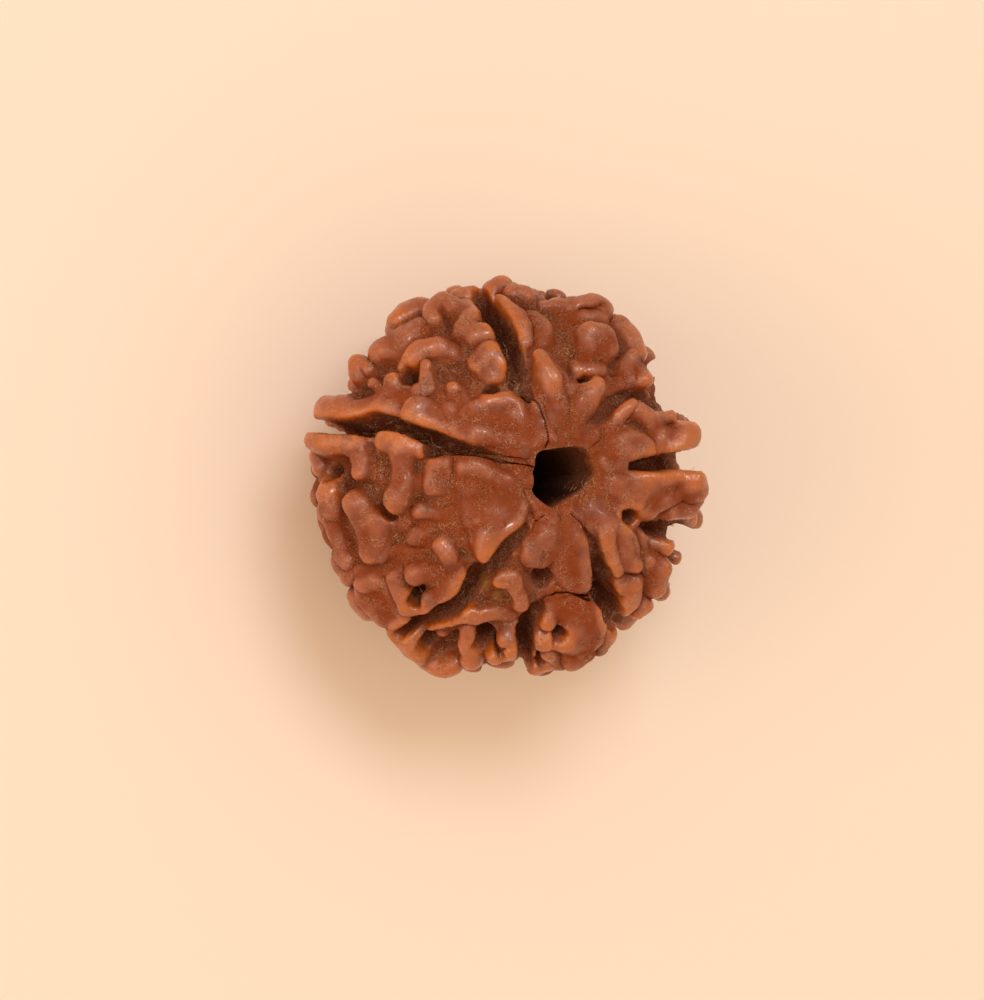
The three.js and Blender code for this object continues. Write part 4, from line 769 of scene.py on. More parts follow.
class Relief:
    """The stone's relief over its floor, as a function of direction."""

    def __init__(self) -> None:
        """Lay the crests, clefts and pits of both sides."""
        seen = [self._seen_crest(points) for points in SEEN_CRESTS]
        seen_clefts = [self._seen_cleft(points) for points in SEEN_CLEFTS]
        lower_clefts = [self._lower_cleft(start, order) for order, start in enumerate(LOWER_CLEFTS)]
        self.pits = [(self._sunk(*pit[:2]) * RADII, *pit[2:]) for pit in SEEN_PITS]
        notches = [self._notch(*notch) for notch in LIMB_NOTCHES]
        self.clefts = seen_clefts + notches + lower_clefts
        self.plates = [self._seen_plate(hollow, points) for hollow, points in SEEN_PLATES]
        self.cracks = [self._crack(*crack) for crack in CRACKS]
        upper = seen + self._petals()
        self.crests = upper + self._lower_crests(upper)
        LOG.info("%d crests, %d of them laid by rule", len(self.crests), len(self.crests) - len(seen))

    @staticmethod
    def _crest(directions: Sequence[Array], widths: Sequence[float], heights: Sequence[float]) -> Crest:
        """Put a crest on the floor."""
        line = np.array(directions) * RADII
        centre = line.mean(axis=0)
        reach = np.linalg.norm(line - centre, axis=1).max() + max(widths) + STONE.mass_reach
        return Crest(line, np.array(widths), np.array(heights), centre, float(reach))

    def _seen_crest(self, points: Sequence[Sequence[float]]) -> Crest:
        """Put a crest of the upper side on the floor."""
        heights = [self._risen(across, up, height) for across, up, _, height in points]
        directions = [direction_seen_at(point[0], point[1], height) for point, height in zip(points, heights)]
        widths = [STONE.slimness * width for _, _, width, _ in points]
        return self._crest(directions, widths, heights)

    @staticmethod
    def _risen(across: float, up: float, height: float) -> float:
        """Raise a crest that stands near the limb."""
        return height + STONE.rim_rise * float(smooth_step(*STONE.rim_edges, math.hypot(across, up)))

    @classmethod
    def _sunk(cls, across: float, up: float) -> Array:
        """Find the direction of a pit or cleft, seen between the tops of its neighbours."""
        return direction_seen_at(across, up, cls._risen(across, up, STONE.pit_level))

    def _seen_plate(self, hollow: float, points: Sequence[Sequence[float]]) -> Plate:
        """Put a plate of the upper side on the floor."""
        heights = [self._risen(*point) for point in points]
        seen = [direction_seen_at(point[0], point[1], height) for point, height in zip(points, heights)]
        corners = np.array(seen) * RADII
        centre = corners.mean(axis=0)
        normal = centre / RADII ** 2
        first = np.cross(UP, normal)
        second = np.cross(normal, first)
        plane = np.stack([first / np.linalg.norm(first), second / np.linalg.norm(second)], axis=1)
        outline = (corners - centre) @ plane
        reach = np.linalg.norm(corners - centre, axis=1).max() + STONE.mass_reach
        return Plate(centre, plane, outline, np.array(heights), hollow, float(reach))

    def _seen_cleft(self, points: Sequence[Sequence[float]]) -> Crest:
        """Put a cleft of the upper side on the floor."""
        directions = [self._sunk(across, up) for across, up, _, _ in points]
        return self._crest(directions, [point[2] for point in points], [point[3] for point in points])

    def _crack(self, width: float, depth: float, level: float, points: Sequence[Sequence[float]]) -> Crest:
        """Put a crack of the upper side on the floor, fading out at one end."""
        directions = [direction_seen_at(across, up, level) for across, up in points]
        depths = [depth] * len(points)
        depths[-1] = STONE.crack_end * depth
        return self._crest(directions, [width] * len(points), depths)

    def _lower_cleft(self, start: tuple[float, float, float], order: int) -> Crest:
        """Lead a cleft of the lower side to the lower pole."""
        bearing, first, width = start
        side = 1 if order % 2 else -1
        directions = []
        latitude = first
        while latitude > LOWER.pole_latitude:
            swayed = max(0, first - latitude - LOWER.cleft_straight)
            sway = side * LOWER.cleft_wander * math.sin(swayed / (LOWER.cleft_straight + order)) ** 2
            directions.append(direction_of(bearing + sway, latitude))
            latitude -= LOWER.cleft_stride
        widths = np.linspace(width, LOWER.cleft_end, len(directions))
        return self._crest(directions, widths, [STONE.lower_cleft_depth] * len(directions))

    def _notch(self, angle: float, width: float, depth: float) -> Crest:
        """Cut a short cleft across the limb, where the outline steps in between two crests."""
        turn = math.radians(angle)
        lean = math.acos(TOWARDS[2])
        bearing = math.degrees(math.atan2(math.sin(turn), math.cos(turn) * math.cos(lean)))
        latitude = math.degrees(math.asin(math.cos(turn) * math.sin(lean)))
        directions = [direction_of(bearing, latitude - fall) for fall in NOTCH_FALLS]
        return self._crest(directions, [width] * len(directions), [depth] * len(directions))

    def _petals(self) -> list[Crest]:
        """Lay the broad petals round the lower pole, one between each two clefts."""
        bearings = [start[0] for start in LOWER_CLEFTS]
        inner = math.degrees(math.acos(LOWER.petal_starts))
        outer = math.degrees(math.acos(LOWER.petal_ends))
        petals = []
        for bearing, following in zip(bearings, bearings[1:] + [bearings[0] - 360]):
            middle = (bearing + following) / 2
            breadth = (bearing - following) / 60
            latitudes = (-inner, -(inner + outer) / 2, -outer)
            directions = [direction_of(middle + sway, at) for sway, at in zip(LOWER.petal_sways, latitudes)]
            broadened = zip(LOWER.petal_widths, LOWER.petal_broadening)
            widths = [slim + added * breadth for slim, added in broadened]
            petals.append(self._crest(directions, widths, LOWER.petal_heights))
        return petals

    def _lower_crests(self, others: Sequence[Crest]) -> list[Crest]:
        """Fill the lower side with worm-like crests and knobs, each clear of its neighbours."""
        draw = seeded_draws(LOWER.seed)
        points: list[Array] = []
        widths: list[float] = []

        def settle(crest: Crest) -> None:
            """Keep a crest's places, so that others stay clear of them."""
            for index, point in enumerate(crest.line):
                following = crest.line[min(index + 1, len(crest.line) - 1)]
                points.extend([point, (point + following) / 2])
                widths.extend([crest.widths[index]] * 2)

        def is_free(direction: Array, width: float) -> bool:
            """Tell whether a crest of some half-width has room at a place."""
            if direction @ TOWARDS >= LOWER.limb or direction[2] <= LOWER.pole_rise:
                return False
            place = direction * RADII
            distances = np.linalg.norm(np.array(points) - place, axis=1)
            if (distances <= np.array(widths) + width + LOWER.gap).any():
                return False
            for cleft in self.clefts:
                room = width + LOWER.cleft_gap * min(1, cleft.heights[0])
                if nearest_on(cleft.line, place[None])[0][0] <= room:
                    return False
            return True

        for crest in others:
            settle(crest)
        found = []
        for attempt in range(LOWER.tries):
            rise = draw(*LOWER.rises)
            turn = draw(0, 2 * math.pi)
            width = draw(*LOWER.widths) * (1 if attempt < LOWER.tries / 3 else LOWER.late_width)
            height = draw(*LOWER.heights)
            bend = draw(*LOWER.bends)
            count = math.floor(draw(*LOWER.counts))
            heading = draw(0, 2 * math.pi)
            level = math.sqrt(1 - rise * rise)
            direction = np.array([level * math.cos(turn), level * math.sin(turn), rise])
            directions = []
            while len(directions) < count and is_free(direction, width):
                directions.append(direction)
                side = np.array([-direction[1], direction[0], 0.0])
                side /= np.linalg.norm(side)
                ahead = np.cross(direction, side)
                stride = LOWER.step / RADII[0]
                direction = direction + stride * (math.cos(heading) * side + math.sin(heading) * ahead)
                direction = direction / np.linalg.norm(direction)
                heading += bend
            if directions:
                heights = [self._lowered(height, at) for at in directions]
                widths_here = [width * (1, LOWER.waist)[order % 2] for order in range(len(directions))]
                crest = self._crest(directions, widths_here, heights)
                settle(crest)
                found.append(crest)
        return found

    @staticmethod
    def _lowered(height: float, direction: Array) -> float:
        """Lower a crest of the rule towards the pole and towards the limb."""
        pole_drop, pole_edge = LOWER.pole_drop
        limb_drop, limb_edge = LOWER.limb_drop
        sunk = height - pole_drop * max(0.0, -direction[2] - pole_edge)
        return sunk - limb_drop * max(0.0, direction @ TOWARDS + limb_edge)

    @staticmethod
    def _beside(crest: Crest, floor: Array) -> tuple[Array, Array, Array, Array]:
        """Find the floor points near a crest, with their distance and its width and height there."""
        near = np.nonzero(np.linalg.norm(floor - crest.centre, axis=1) < crest.reach)[0]
        distance, index, share = nearest_on(crest.line, floor[near])
        following = np.minimum(index + 1, len(crest.line) - 1)
        width = crest.widths[index] * (1 - share) + crest.widths[following] * share
        height = crest.heights[index] * (1 - share) + crest.heights[following] * share
        return near, distance, width, height

    @staticmethod
    def _over(plate: Plate, floor: Array) -> tuple[Array, Array, Array, Array]:
        """Find the floor points near a plate, with their distance, no width, and its height there."""
        near = np.nonzero(np.linalg.norm(floor - plate.centre, axis=1) < plate.reach)[0]
        points = (floor[near] - plate.centre) @ plate.plane
        distance = np.full(len(near), np.inf)
        inside = np.zeros(len(near), bool)
        weight = np.zeros(len(near))
        height = np.zeros(len(near))
        for index, corner in enumerate(plate.outline):
            following = (index + 1) % len(plate.outline)
            step = plate.outline[following] - corner
            offset = points - corner
            along = np.clip(offset @ step / (step @ step), 0, 1)
            gap = np.linalg.norm(offset - along[:, None] * step, axis=1)
            distance = np.minimum(distance, gap)
            crosses = (corner[1] > points[:, 1]) != (plate.outline[following][1] > points[:, 1])
            slant = step[0] / step[1] if step[1] else 0.0
            inside ^= crosses & (points[:, 0] < corner[0] + slant * (points[:, 1] - corner[1]))
            pull = 1 / (gap * gap + STONE.plate_softness)
            weight += pull
            height += pull * (plate.heights[index] * (1 - along) + plate.heights[following] * along)
        height = height / weight - plate.hollow * smooth_step(0, STONE.plate_dip, distance) * inside
        return near, np.where(inside, 0, distance), np.full(len(near), STONE.plate_width), height

    @staticmethod
    def _join(first: Array, second: Array) -> Array:
        """Take the higher of two surfaces, with a fillet where they meet."""
        overlap = np.clip(1 - np.abs(first - second) / STONE.fillet, 0, None)
        return np.maximum(first, second) + overlap ** 2 * STONE.fillet / 4 * (np.minimum(first, second) > 0)

    @staticmethod
    def _collar(floor: Array) -> Array:
        """Raise the floor round the bore's upper mouth."""
        away = np.hypot(floor[:, 0], floor[:, 1])
        return STONE.collar_rise * smooth_step(*STONE.collar_edges[::-1], away) * (floor[:, 2] > 0)

    @staticmethod
    def swell(floor: Array) -> Array:
        """Slow rise and fall of the valley floors."""
        x, y, z = floor.T
        return STONE.floor_swell * (np.sin(x * 1.3 + z) + np.sin(y * 1.5 - z * 0.7))

    @staticmethod
    def _wandered(directions: Array) -> Array:
        """Put directions on the floor and shift them a little, so that no line runs straight."""
        floor = directions * RADII
        warp = np.stack([layered(floor, WARP, shift=axis) for axis in range(3)], axis=1)
        return floor + STONE.wander * warp

    def fields(self, directions: Array) -> dict[str, Array]:
        """Work out the relief.

        Args:
            directions: Unit vectors, one a row.

        Returns:
            For each direction: "height" over the floor, "top" of the nearest crest, and how close it is
            to a "cleft", a "crack", a "stain" and a "tuft" of fibres.
        """
        floor = self._wandered(directions)
        height, top = self._grown(floor)
        height, cleft = self._carved(floor, height)
        height, crack = self._split(floor, height)
        return {"height": height, "top": top, "cleft": cleft, "crack": crack,
                "stain": self._near_any(STAINS, floor), "tuft": self._near_any(TUFTS, floor)}

    def _grown(self, floor: Array) -> tuple[Array, Array]:
        """Raise crests and plates, and say how high the nearest one is."""
        walls = STONE.wall * (1 + STONE.wall_change * value_noise(floor, WALLS.size, WALLS.seed))
        forms = [self._over(plate, floor) for plate in self.plates]
        forms += [self._beside(crest, floor) for crest in self.crests]
        mass = self._collar(floor)
        for near, distance, width, tops in forms:
            broad = np.clip(distance / (width + STONE.mass_reach), 0, 1)
            mass[near] += STONE.mass_share * tops * (1 - broad ** 2) ** 2
        base = STONE.mass_limit * (1 - np.exp(-mass / STONE.mass_limit))
        base *= 1 + STONE.mass_change * value_noise(floor, MASSES.size, MASSES.seed)
        rise = np.zeros(len(floor))
        shape = np.zeros(len(floor))
        top = np.full(len(floor), STONE.usual_top)
        nearest = np.full(len(floor), STONE.far_out)
        for near, distance, width, tops in forms:
            wall = walls[near] * np.clip(STONE.wall_growth + width, *STONE.wall_limits)
            fall = (1 - STONE.wall_edge) * width + wall
            steep = np.clip((distance - STONE.wall_edge * width) / fall, 0, 1)
            broad = np.clip(distance / (width + STONE.skirt), 0, 1)
            profile = STONE.cap_share * (1 - steep ** 2) ** 2 + (1 - STONE.cap_share) * (1 - broad ** 2) ** 2
            rise[near] = self._join(rise[near], np.maximum(tops - base[near], STONE.least_rise) * profile)
            shape[near] = np.maximum(shape[near], profile)
            out = distance / (width + STONE.wall)
            top[near] = np.where(out < nearest[near], tops, top[near])
            nearest[near] = np.minimum(nearest[near], out)
        height = self.swell(floor) + base + rise * (1 + STONE.unevenness * layered(floor, CREST_LUMPS))
        valley = smooth_step(*STONE.valley_edges, shape)
        height += STONE.valley_lumps * valley * layered(floor, VALLEY_LUMPS)
        height += STONE.hammered * (1 - valley) * layered(floor, HAMMER)
        return height, top

    def _carved(self, floor: Array, height: Array) -> tuple[Array, Array]:
        """Sink clefts and pits into the relief, and say how close they are."""
        closeness = np.zeros(len(floor))
        for cleft in self.clefts:
            near, distance, width, depth = self._beside(cleft, floor)
            dip = depth * smooth_step(1, 0, (distance - 0.5 * width) / (0.5 * width + STONE.cleft_edge))
            closeness[near] = np.maximum(closeness[near], dip)
        height = height + np.clip(closeness, 0, 1) * (STONE.cleft_level - height)
        height -= STONE.cleft_extra * np.clip(closeness - 1, 0, 1)
        for centre, radius, depth in self.pits:
            dip = np.exp(-(np.linalg.norm(floor - centre, axis=1) / radius) ** 4)
            height += dip * (np.minimum(height, -STONE.pit_share * depth) - height)
            # A deep pit counts as near a cleft, so that it gets the clefts' painted shade.
            shade = STONE.pit_shade * dip * smooth_step(*STONE.pit_depths, np.array(depth))
            closeness = np.maximum(closeness, shade)
        return height, closeness

    def _split(self, floor: Array, height: Array) -> tuple[Array, Array]:
        """Open the cracks, and say how close they are."""
        crack = np.zeros(len(floor))
        level = floor / np.linalg.norm(floor / RADII, axis=1, keepdims=True)
        for line in self.cracks:
            near, distance, width, depth = self._beside(line, level)
            share = np.exp(-(distance / width) ** 2)
            height[near] -= depth * share
            # How close a crack is, which sets how dark its painted shade is.
            crack[near] = np.maximum(crack[near], share * np.minimum(1, depth / STONE.crack_shown))
        return height, crack

    @staticmethod
    def _near_any(spots: Sequence[tuple[float, float, float]], floor: Array) -> Array:
        """Tell how close floor points are to any of some spots of the upper side, 0 to 1."""
        close = np.zeros(len(floor))
        for across, up, radius in spots:
            centre = direction_seen_at(across, up, STONE.pit_level) * RADII
            close = np.maximum(close, np.exp(-(np.linalg.norm(floor - centre, axis=1) / radius) ** 2))
        return close

    def is_cracked(self, directions: Array, margin: float) -> Array:
        """Tell which directions lie within a margin of a crack, in millimetres."""
        floor = self._wandered(directions)
        floor /= np.linalg.norm(floor / RADII, axis=1, keepdims=True)
        return np.any([nearest_on(line.line, floor)[0] < margin for line in self.cracks], axis=0)


class MeshTools:
    """Shared steps on Blender meshes."""

    @staticmethod
    def select_only(piece: bpy.types.Object) -> None:
        """Make one object the only selected and active one."""
        bpy.ops.object.select_all(action="DESELECT")
        piece.select_set(True)
        bpy.context.view_layer.objects.active = piece

    @staticmethod
    def points(piece: bpy.types.Object) -> Array:
        """Read a mesh's vertices, one a row."""
        flat = np.empty(len(piece.data.vertices) * 3, np.float32)
        piece.data.vertices.foreach_get("co", flat)
        return flat.reshape(-1, 3).astype(np.float64)

    @staticmethod
    def move(piece: bpy.types.Object, points: Array) -> None:
        """Move a mesh's vertices to the given points."""
        piece.data.vertices.foreach_set("co", points.astype(np.float32).ravel())
        piece.data.update()

    @staticmethod
    def normals(piece: bpy.types.Object) -> Array:
        """Read a mesh's vertex normals, one a row."""
        flat = np.empty(len(piece.data.vertices) * 3, np.float32)
        piece.data.vertex_normals.foreach_get("vector", flat)
        return flat.reshape(-1, 3).astype(np.float64)

    @staticmethod
    def apply(piece: bpy.types.Object, kind: str, **settings: object) -> None:
        """Add a modifier with the given settings and apply it."""
        MeshTools.select_only(piece)
        modifier = piece.modifiers.new(kind.title(), kind)
        for name, value in settings.items():
            setattr(modifier, name, value)
        bpy.ops.object.modifier_apply(modifier=modifier.name)

    @staticmethod
    def paint(piece: bpy.types.Object, name: str, values: Array) -> None:
        """Keep one number a vertex as an attribute."""
        attribute = piece.data.attributes.new(name, "FLOAT", "POINT")
        attribute.data.foreach_set("value", values.astype(np.float32))

    @staticmethod
    def painted(piece: bpy.types.Object, name: str) -> Array:
        """Read an attribute, one number a vertex."""
        values = np.empty(len(piece.data.vertices), np.float32)
        piece.data.attributes[name].data.foreach_get("value", values)
        return values.astype(np.float64)

    @staticmethod
    def blurred(piece: bpy.types.Object, values: Array, rounds: int) -> Array:
        """Average values with their neighbours along the edges, several times."""
        edges = np.empty(len(piece.data.edges) * 2, np.int32)
        piece.data.edges.foreach_get("vertices", edges)
        first, second = edges.reshape(-1, 2).T
        count = len(values)
        degree = np.bincount(first, minlength=count) + np.bincount(second, minlength=count)
        for _ in range(rounds):
            total = np.bincount(first, values[second], count) + np.bincount(second, values[first], count)
            values = 0.5 * values + 0.5 * total / np.maximum(degree, 1)
        return values


@dataclass
class Bore:
    """The hole along the axis.

    Attributes:
        sides: Points round its section.
        rings: Rings along its length.
        length: Length of the cutter in millimetres.
        streaks: How far the wall's unevenness is drawn out (smaller is more round the bore).
        weld: Width of the seam that is closed, in metres.
        rounding: How often the corners are smoothed.
    """

    sides: int = 72
    rings: int = 40
    length: float = 24.0
    streaks: float = 0.6
    weld: float = 1e-6
    rounding: int = 3

    def outline(self) -> Array:
        """Round the mouth's corners into an even outline.

        Returns:
            Its points round the axis in millimetres, one a row.
        """
        corners = np.array(BORE_MOUTH)[::-1]
        following = np.roll(corners, -1, axis=0)
        steps = np.linalg.norm(following - corners, axis=1)
        reach = np.concatenate([[0], np.cumsum(steps)])
        at = np.linspace(0, reach[-1], self.sides, endpoint=False)
        closed = np.vstack([corners, corners[:1]])
        outline = np.stack([np.interp(at, reach, closed[:, axis]) for axis in range(2)], axis=1)
        for _ in range(self.rounding):
            outline = (np.roll(outline, 1, axis=0) + 2 * outline + np.roll(outline, -1, axis=0)) / 4
        return outline

    def cutter(self) -> bpy.types.Object:
        """Make the solid that cuts the bore.

        Returns:
            The cutter, in metres round the stone's own middle.
        """
        bpy.ops.mesh.primitive_grid_add(x_subdivisions=self.sides, y_subdivisions=self.rings, size=1)
        piece = bpy.context.object
        flat = MeshTools.points(piece)
        around = np.round((flat[:, 0] + 0.5) * self.sides).astype(int) % self.sides
        level = flat[:, 1] * self.length
        away = np.minimum(1, np.abs(level) / RADII[2])
        share = STONE.bore_waist + (1 - STONE.bore_waist) * away ** 2
        section = self.outline()[around]
        rough = np.column_stack([section * self.streaks, level])
        share = share * layered(rough, BORE_WALL, start=1.0)
        placed = np.column_stack([section * share[:, None], level])
        MeshTools.move(piece, placed * MM)
        MeshTools.select_only(piece)
        bpy.ops.object.mode_set(mode="EDIT")
        bpy.ops.mesh.select_all(action="SELECT")
        bpy.ops.mesh.remove_doubles(threshold=self.weld)
        bpy.ops.mesh.select_all(action="DESELECT")
        bpy.ops.mesh.select_non_manifold()
        bpy.ops.mesh.edge_face_add()
        bpy.ops.mesh.select_all(action="SELECT")
        bpy.ops.mesh.normals_make_consistent(inside=False)
        bpy.ops.object.mode_set(mode="OBJECT")
        return piece


@dataclass
class Stone:
    """The stone itself.

    Attributes:
        relief: The formula that it grows by.
        subdivisions: Subdivisions of the ball that it starts as.
        most_triangles: Limit on its triangles.
        crack_margin: How far from a crack the ball is divided more finely, in millimetres.
        kept_margin: How far from a crack no triangle is taken out.
        wall_shares: Between these shares of a crest's height, it bulges out over its wall.
        foot_shares: Between these, the wall is drawn in at its foot.
        foot_pull: How much it is drawn in, against how much the crest bulges.
        rough_shares: Shares of a crest's height where the skin is smoothest and roughest.
    """

    relief: Relief
    subdivisions: int = 8
    most_triangles: int = 190_000
    crack_margin: float = 0.35
    kept_margin: float = 0.6
    wall_shares: tuple[float, float] = (0.6, 0.85)
    foot_shares: tuple[float, float, float] = (0.25, 0.4, 0.6)
    foot_pull: float = 0.7
    rough_shares: tuple[float, float] = (0.95, 0.35)

    def build(self) -> bpy.types.Object:
        """Grow, bore and paint the stone.

        Returns:
            The finished piece in the frame's own place.
        """
        bpy.ops.mesh.primitive_ico_sphere_add(subdivisions=self.subdivisions, radius=1)
        piece = bpy.context.object
        piece.name = "seed_stone"
        piece.data.name = "seed_stone"
        self._refine(piece)
        directions = MeshTools.points(piece)
        directions /= np.linalg.norm(directions, axis=1, keepdims=True)
        fields = self.relief.fields(directions)
        self._raise(piece, directions, fields)
        self._cut(piece)
        self._thin(piece)
        self._paint(piece)
        self._settle(piece)
        bpy.ops.object.shade_smooth()
        return piece

    def _refine(self, piece: bpy.types.Object) -> None:
        """Divide the ball's triangles where the cracks will run."""
        cracked = self.relief.is_cracked(MeshTools.points(piece), self.crack_margin)
        MeshTools.select_only(piece)
        bpy.ops.object.mode_set(mode="EDIT")
        bpy.ops.mesh.select_mode(type="VERT")
        bpy.ops.mesh.select_all(action="DESELECT")
        bpy.ops.object.mode_set(mode="OBJECT")
        piece.data.vertices.foreach_set("select", cracked)
        bpy.ops.object.mode_set(mode="EDIT")
        bpy.ops.mesh.subdivide(number_cuts=2)
        bpy.ops.object.mode_set(mode="OBJECT")

    def _raise(self, piece: bpy.types.Object, directions: Array, fields: dict[str, Array]) -> None:
        """Move the ball's vertices out to the relief, with overhanging walls and a rough skin."""
        height = fields["height"]
        points = directions * (RADII + height[:, None])
        low = smooth_step(*self.rough_shares, height / fields["top"])
        roughness = STONE.skin[0] + STONE.skin[1] * low
        height = layered(points, [SKIN_SWELL], start=height + roughness * layered(points, SKIN))
        points = directions * (RADII + height[:, None])
        MeshTools.move(piece, points * MM)
        normals = MeshTools.normals(piece)
        outward = directions / RADII
        outward /= np.linalg.norm(outward, axis=1, keepdims=True)
        level = normals - np.sum(normals * outward, axis=1, keepdims=True) * outward
        share = height / fields["top"]
        start, foot, end = self.foot_shares
        pull = self.foot_pull * smooth_step(end, foot, share) * smooth_step(0, start, share)
        push = smooth_step(*self.wall_shares, share) - pull
        points = points + STONE.undercut * push[:, None] * level
        MeshTools.move(piece, points * MM)

    def _cut(self, piece: bpy.types.Object) -> None:
        """Bore the stone and wear its feet flat."""
        cutter = Bore().cutter()
        MeshTools.apply(piece, "BOOLEAN", operation="DIFFERENCE", object=cutter, solver="MANIFOLD")
        bpy.data.objects.remove(cutter)
        depth = 4 * RADII[0] * MM
        ground_middle = (0, 0, STONE.foot_level * MM - depth / 2)
        bpy.ops.object.select_all(action="DESELECT")
        bpy.ops.mesh.primitive_cube_add(size=depth, location=ground_middle)
        ground = bpy.context.object
        MeshTools.apply(piece, "BOOLEAN", operation="DIFFERENCE", object=ground, solver="MANIFOLD")
        bpy.data.objects.remove(ground)

    def _thin(self, piece: bpy.types.Object) -> None:
        """Take out the triangles that the shape can spare."""
        MeshTools.apply(piece, "TRIANGULATE")
        count = len(piece.data.polygons)
        spare = piece.vertex_groups.new(name="spare")
        points = MeshTools.points(piece)
        directions = points / np.linalg.norm(points / RADII, axis=1, keepdims=True) / RADII
        cracked = self.relief.is_cracked(directions, self.kept_margin)
        spare.add(np.flatnonzero(~cracked).tolist(), 1, "REPLACE")
        if count > self.most_triangles:
            MeshTools.apply(piece, "DECIMATE", ratio=self.most_triangles / count, vertex_group="spare")
        LOG.info("stone: %d triangles, from %d", len(piece.data.polygons), count)

    @staticmethod
    def _measured(points: Array) -> tuple[Array, Array]:
        """Find the directions that points lie in, and their height over the floor."""
        height = np.zeros(len(points))
        for _ in range(PAINT.rounds):
            scaled = points / (RADII + height[:, None])
            error = np.linalg.norm(scaled, axis=1) - 1
            slope = -np.sum(scaled ** 2 / (RADII + height[:, None]), axis=1) / np.linalg.norm(scaled, axis=1)
            height = np.clip(height - error / slope, -PAINT.deepest, PAINT.deepest)
        directions = points / (RADII + height[:, None])
        return directions / np.linalg.norm(directions, axis=1, keepdims=True), height

    def _paint(self, piece: bpy.types.Object) -> None:
        """Keep what the material and the debris need, as numbers of the vertices."""
        points = MeshTools.points(piece) / MM
        directions, height = self._measured(points)
        fields = self.relief.fields(directions)
        radius = np.hypot(points[:, 0], points[:, 1])
        inside = (height < PAINT.bore_height) & (radius < PAINT.bore_radius)
        MeshTools.paint(piece, "relief", np.clip(height / fields["top"], *PAINT.relief_range))
        MeshTools.paint(piece, "cleft", fields["cleft"])
        MeshTools.paint(piece, "crack", fields["crack"] * (height > PAINT.seen_height))
        MeshTools.paint(piece, "stain", fields["stain"])
        # Paint light on the bore's wall towards the right and the top of the view, and shade on the rest of
        # it.
        lit = points[:, :2] @ (RIGHT[:2] + PAINT.lit_lean * UP[:2])
        side = smooth_step(*PAINT.lit_edges, lit)
        MeshTools.paint(piece, "bore", MeshTools.blurred(piece, inside * side, PAINT.near_rounds))
        MeshTools.paint(piece, "bore_shade", MeshTools.blurred(piece, inside * (1 - side), PAINT.near_rounds))
        mouth = smooth_step(PAINT.mouth_width, 0.0, self._past_mouth(points)) * (points[:, 2] > 0)
        MeshTools.paint(piece, "mouth", mouth)
        near = MeshTools.blurred(piece, height, PAINT.near_rounds)
        wide = MeshTools.blurred(piece, height, PAINT.wide_rounds)
        hollow = np.clip((wide - near) / PAINT.hollow_depth, -1, 1)
        MeshTools.paint(piece, "hollow", hollow)
        MeshTools.paint(piece, "low", self._littered(points, height, hollow, fields))
        MeshTools.paint(piece, "ridge", np.clip((near - wide) / PAINT.ridge_height, -1, 1))
        fine = MeshTools.blurred(piece, height, PAINT.fine_rounds)
        middling = MeshTools.blurred(piece, height, PAINT.crease_rounds)
        MeshTools.paint(piece, "crease", np.clip((middling - fine) / PAINT.crease_depth, 0, 1))
        beside = MeshTools.blurred(piece, height, PAINT.edge_rounds)
        MeshTools.paint(piece, "edge", np.clip((fine - beside) / PAINT.edge_height, -1, 1))

    @staticmethod
    def _littered(points: Array, height: Array, hollow: Array, fields: dict[str, Array]) -> Array:
        """Tell how likely debris is to lie at each place."""
        radius = np.hypot(points[:, 0], points[:, 1])
        inside = (height < PAINT.bore_height) & (radius < PAINT.bore_radius)
        cleft = smooth_step(*PAINT.debris_clefts, fields["cleft"])
        low = smooth_step(*PAINT.debris_hollows, hollow) + PAINT.cleft_share * cleft
        patches = value_noise(points, DEBRIS_PATCHES.size, DEBRIS_PATCHES.seed)
        low *= smooth_step(*PAINT.patch_edges, patches)
        low *= (height > PAINT.seen_height) * (points[:, 2] > PAINT.lowest_debris)
        at_mouth = inside * (points[:, 2] > PAINT.mouth_level) * (points[:, 0] > 0)
        low += PAINT.tuft_share * fields["tuft"] * (height < 1) + PAINT.mouth_share * at_mouth
        return low * smooth_step(*PAINT.debris_edges, radius)

    @staticmethod
    def _past_mouth(points: Array) -> Array:
        """Measure how far points lie outside the bore's mouth, in millimetres."""
        mouth = np.array([*BORE_MOUTH, BORE_MOUTH[0]])
        return nearest_on(mouth, points[:, :2])[0]

    @staticmethod
    def _settle(piece: bpy.types.Object) -> None:
        """Move the stone from its own middle to its place in the frame."""
        middle = np.array([STONE.middle[0], STONE.middle[1], STONE.foot_level])
        MeshTools.move(piece, MeshTools.points(piece) - middle * MM)


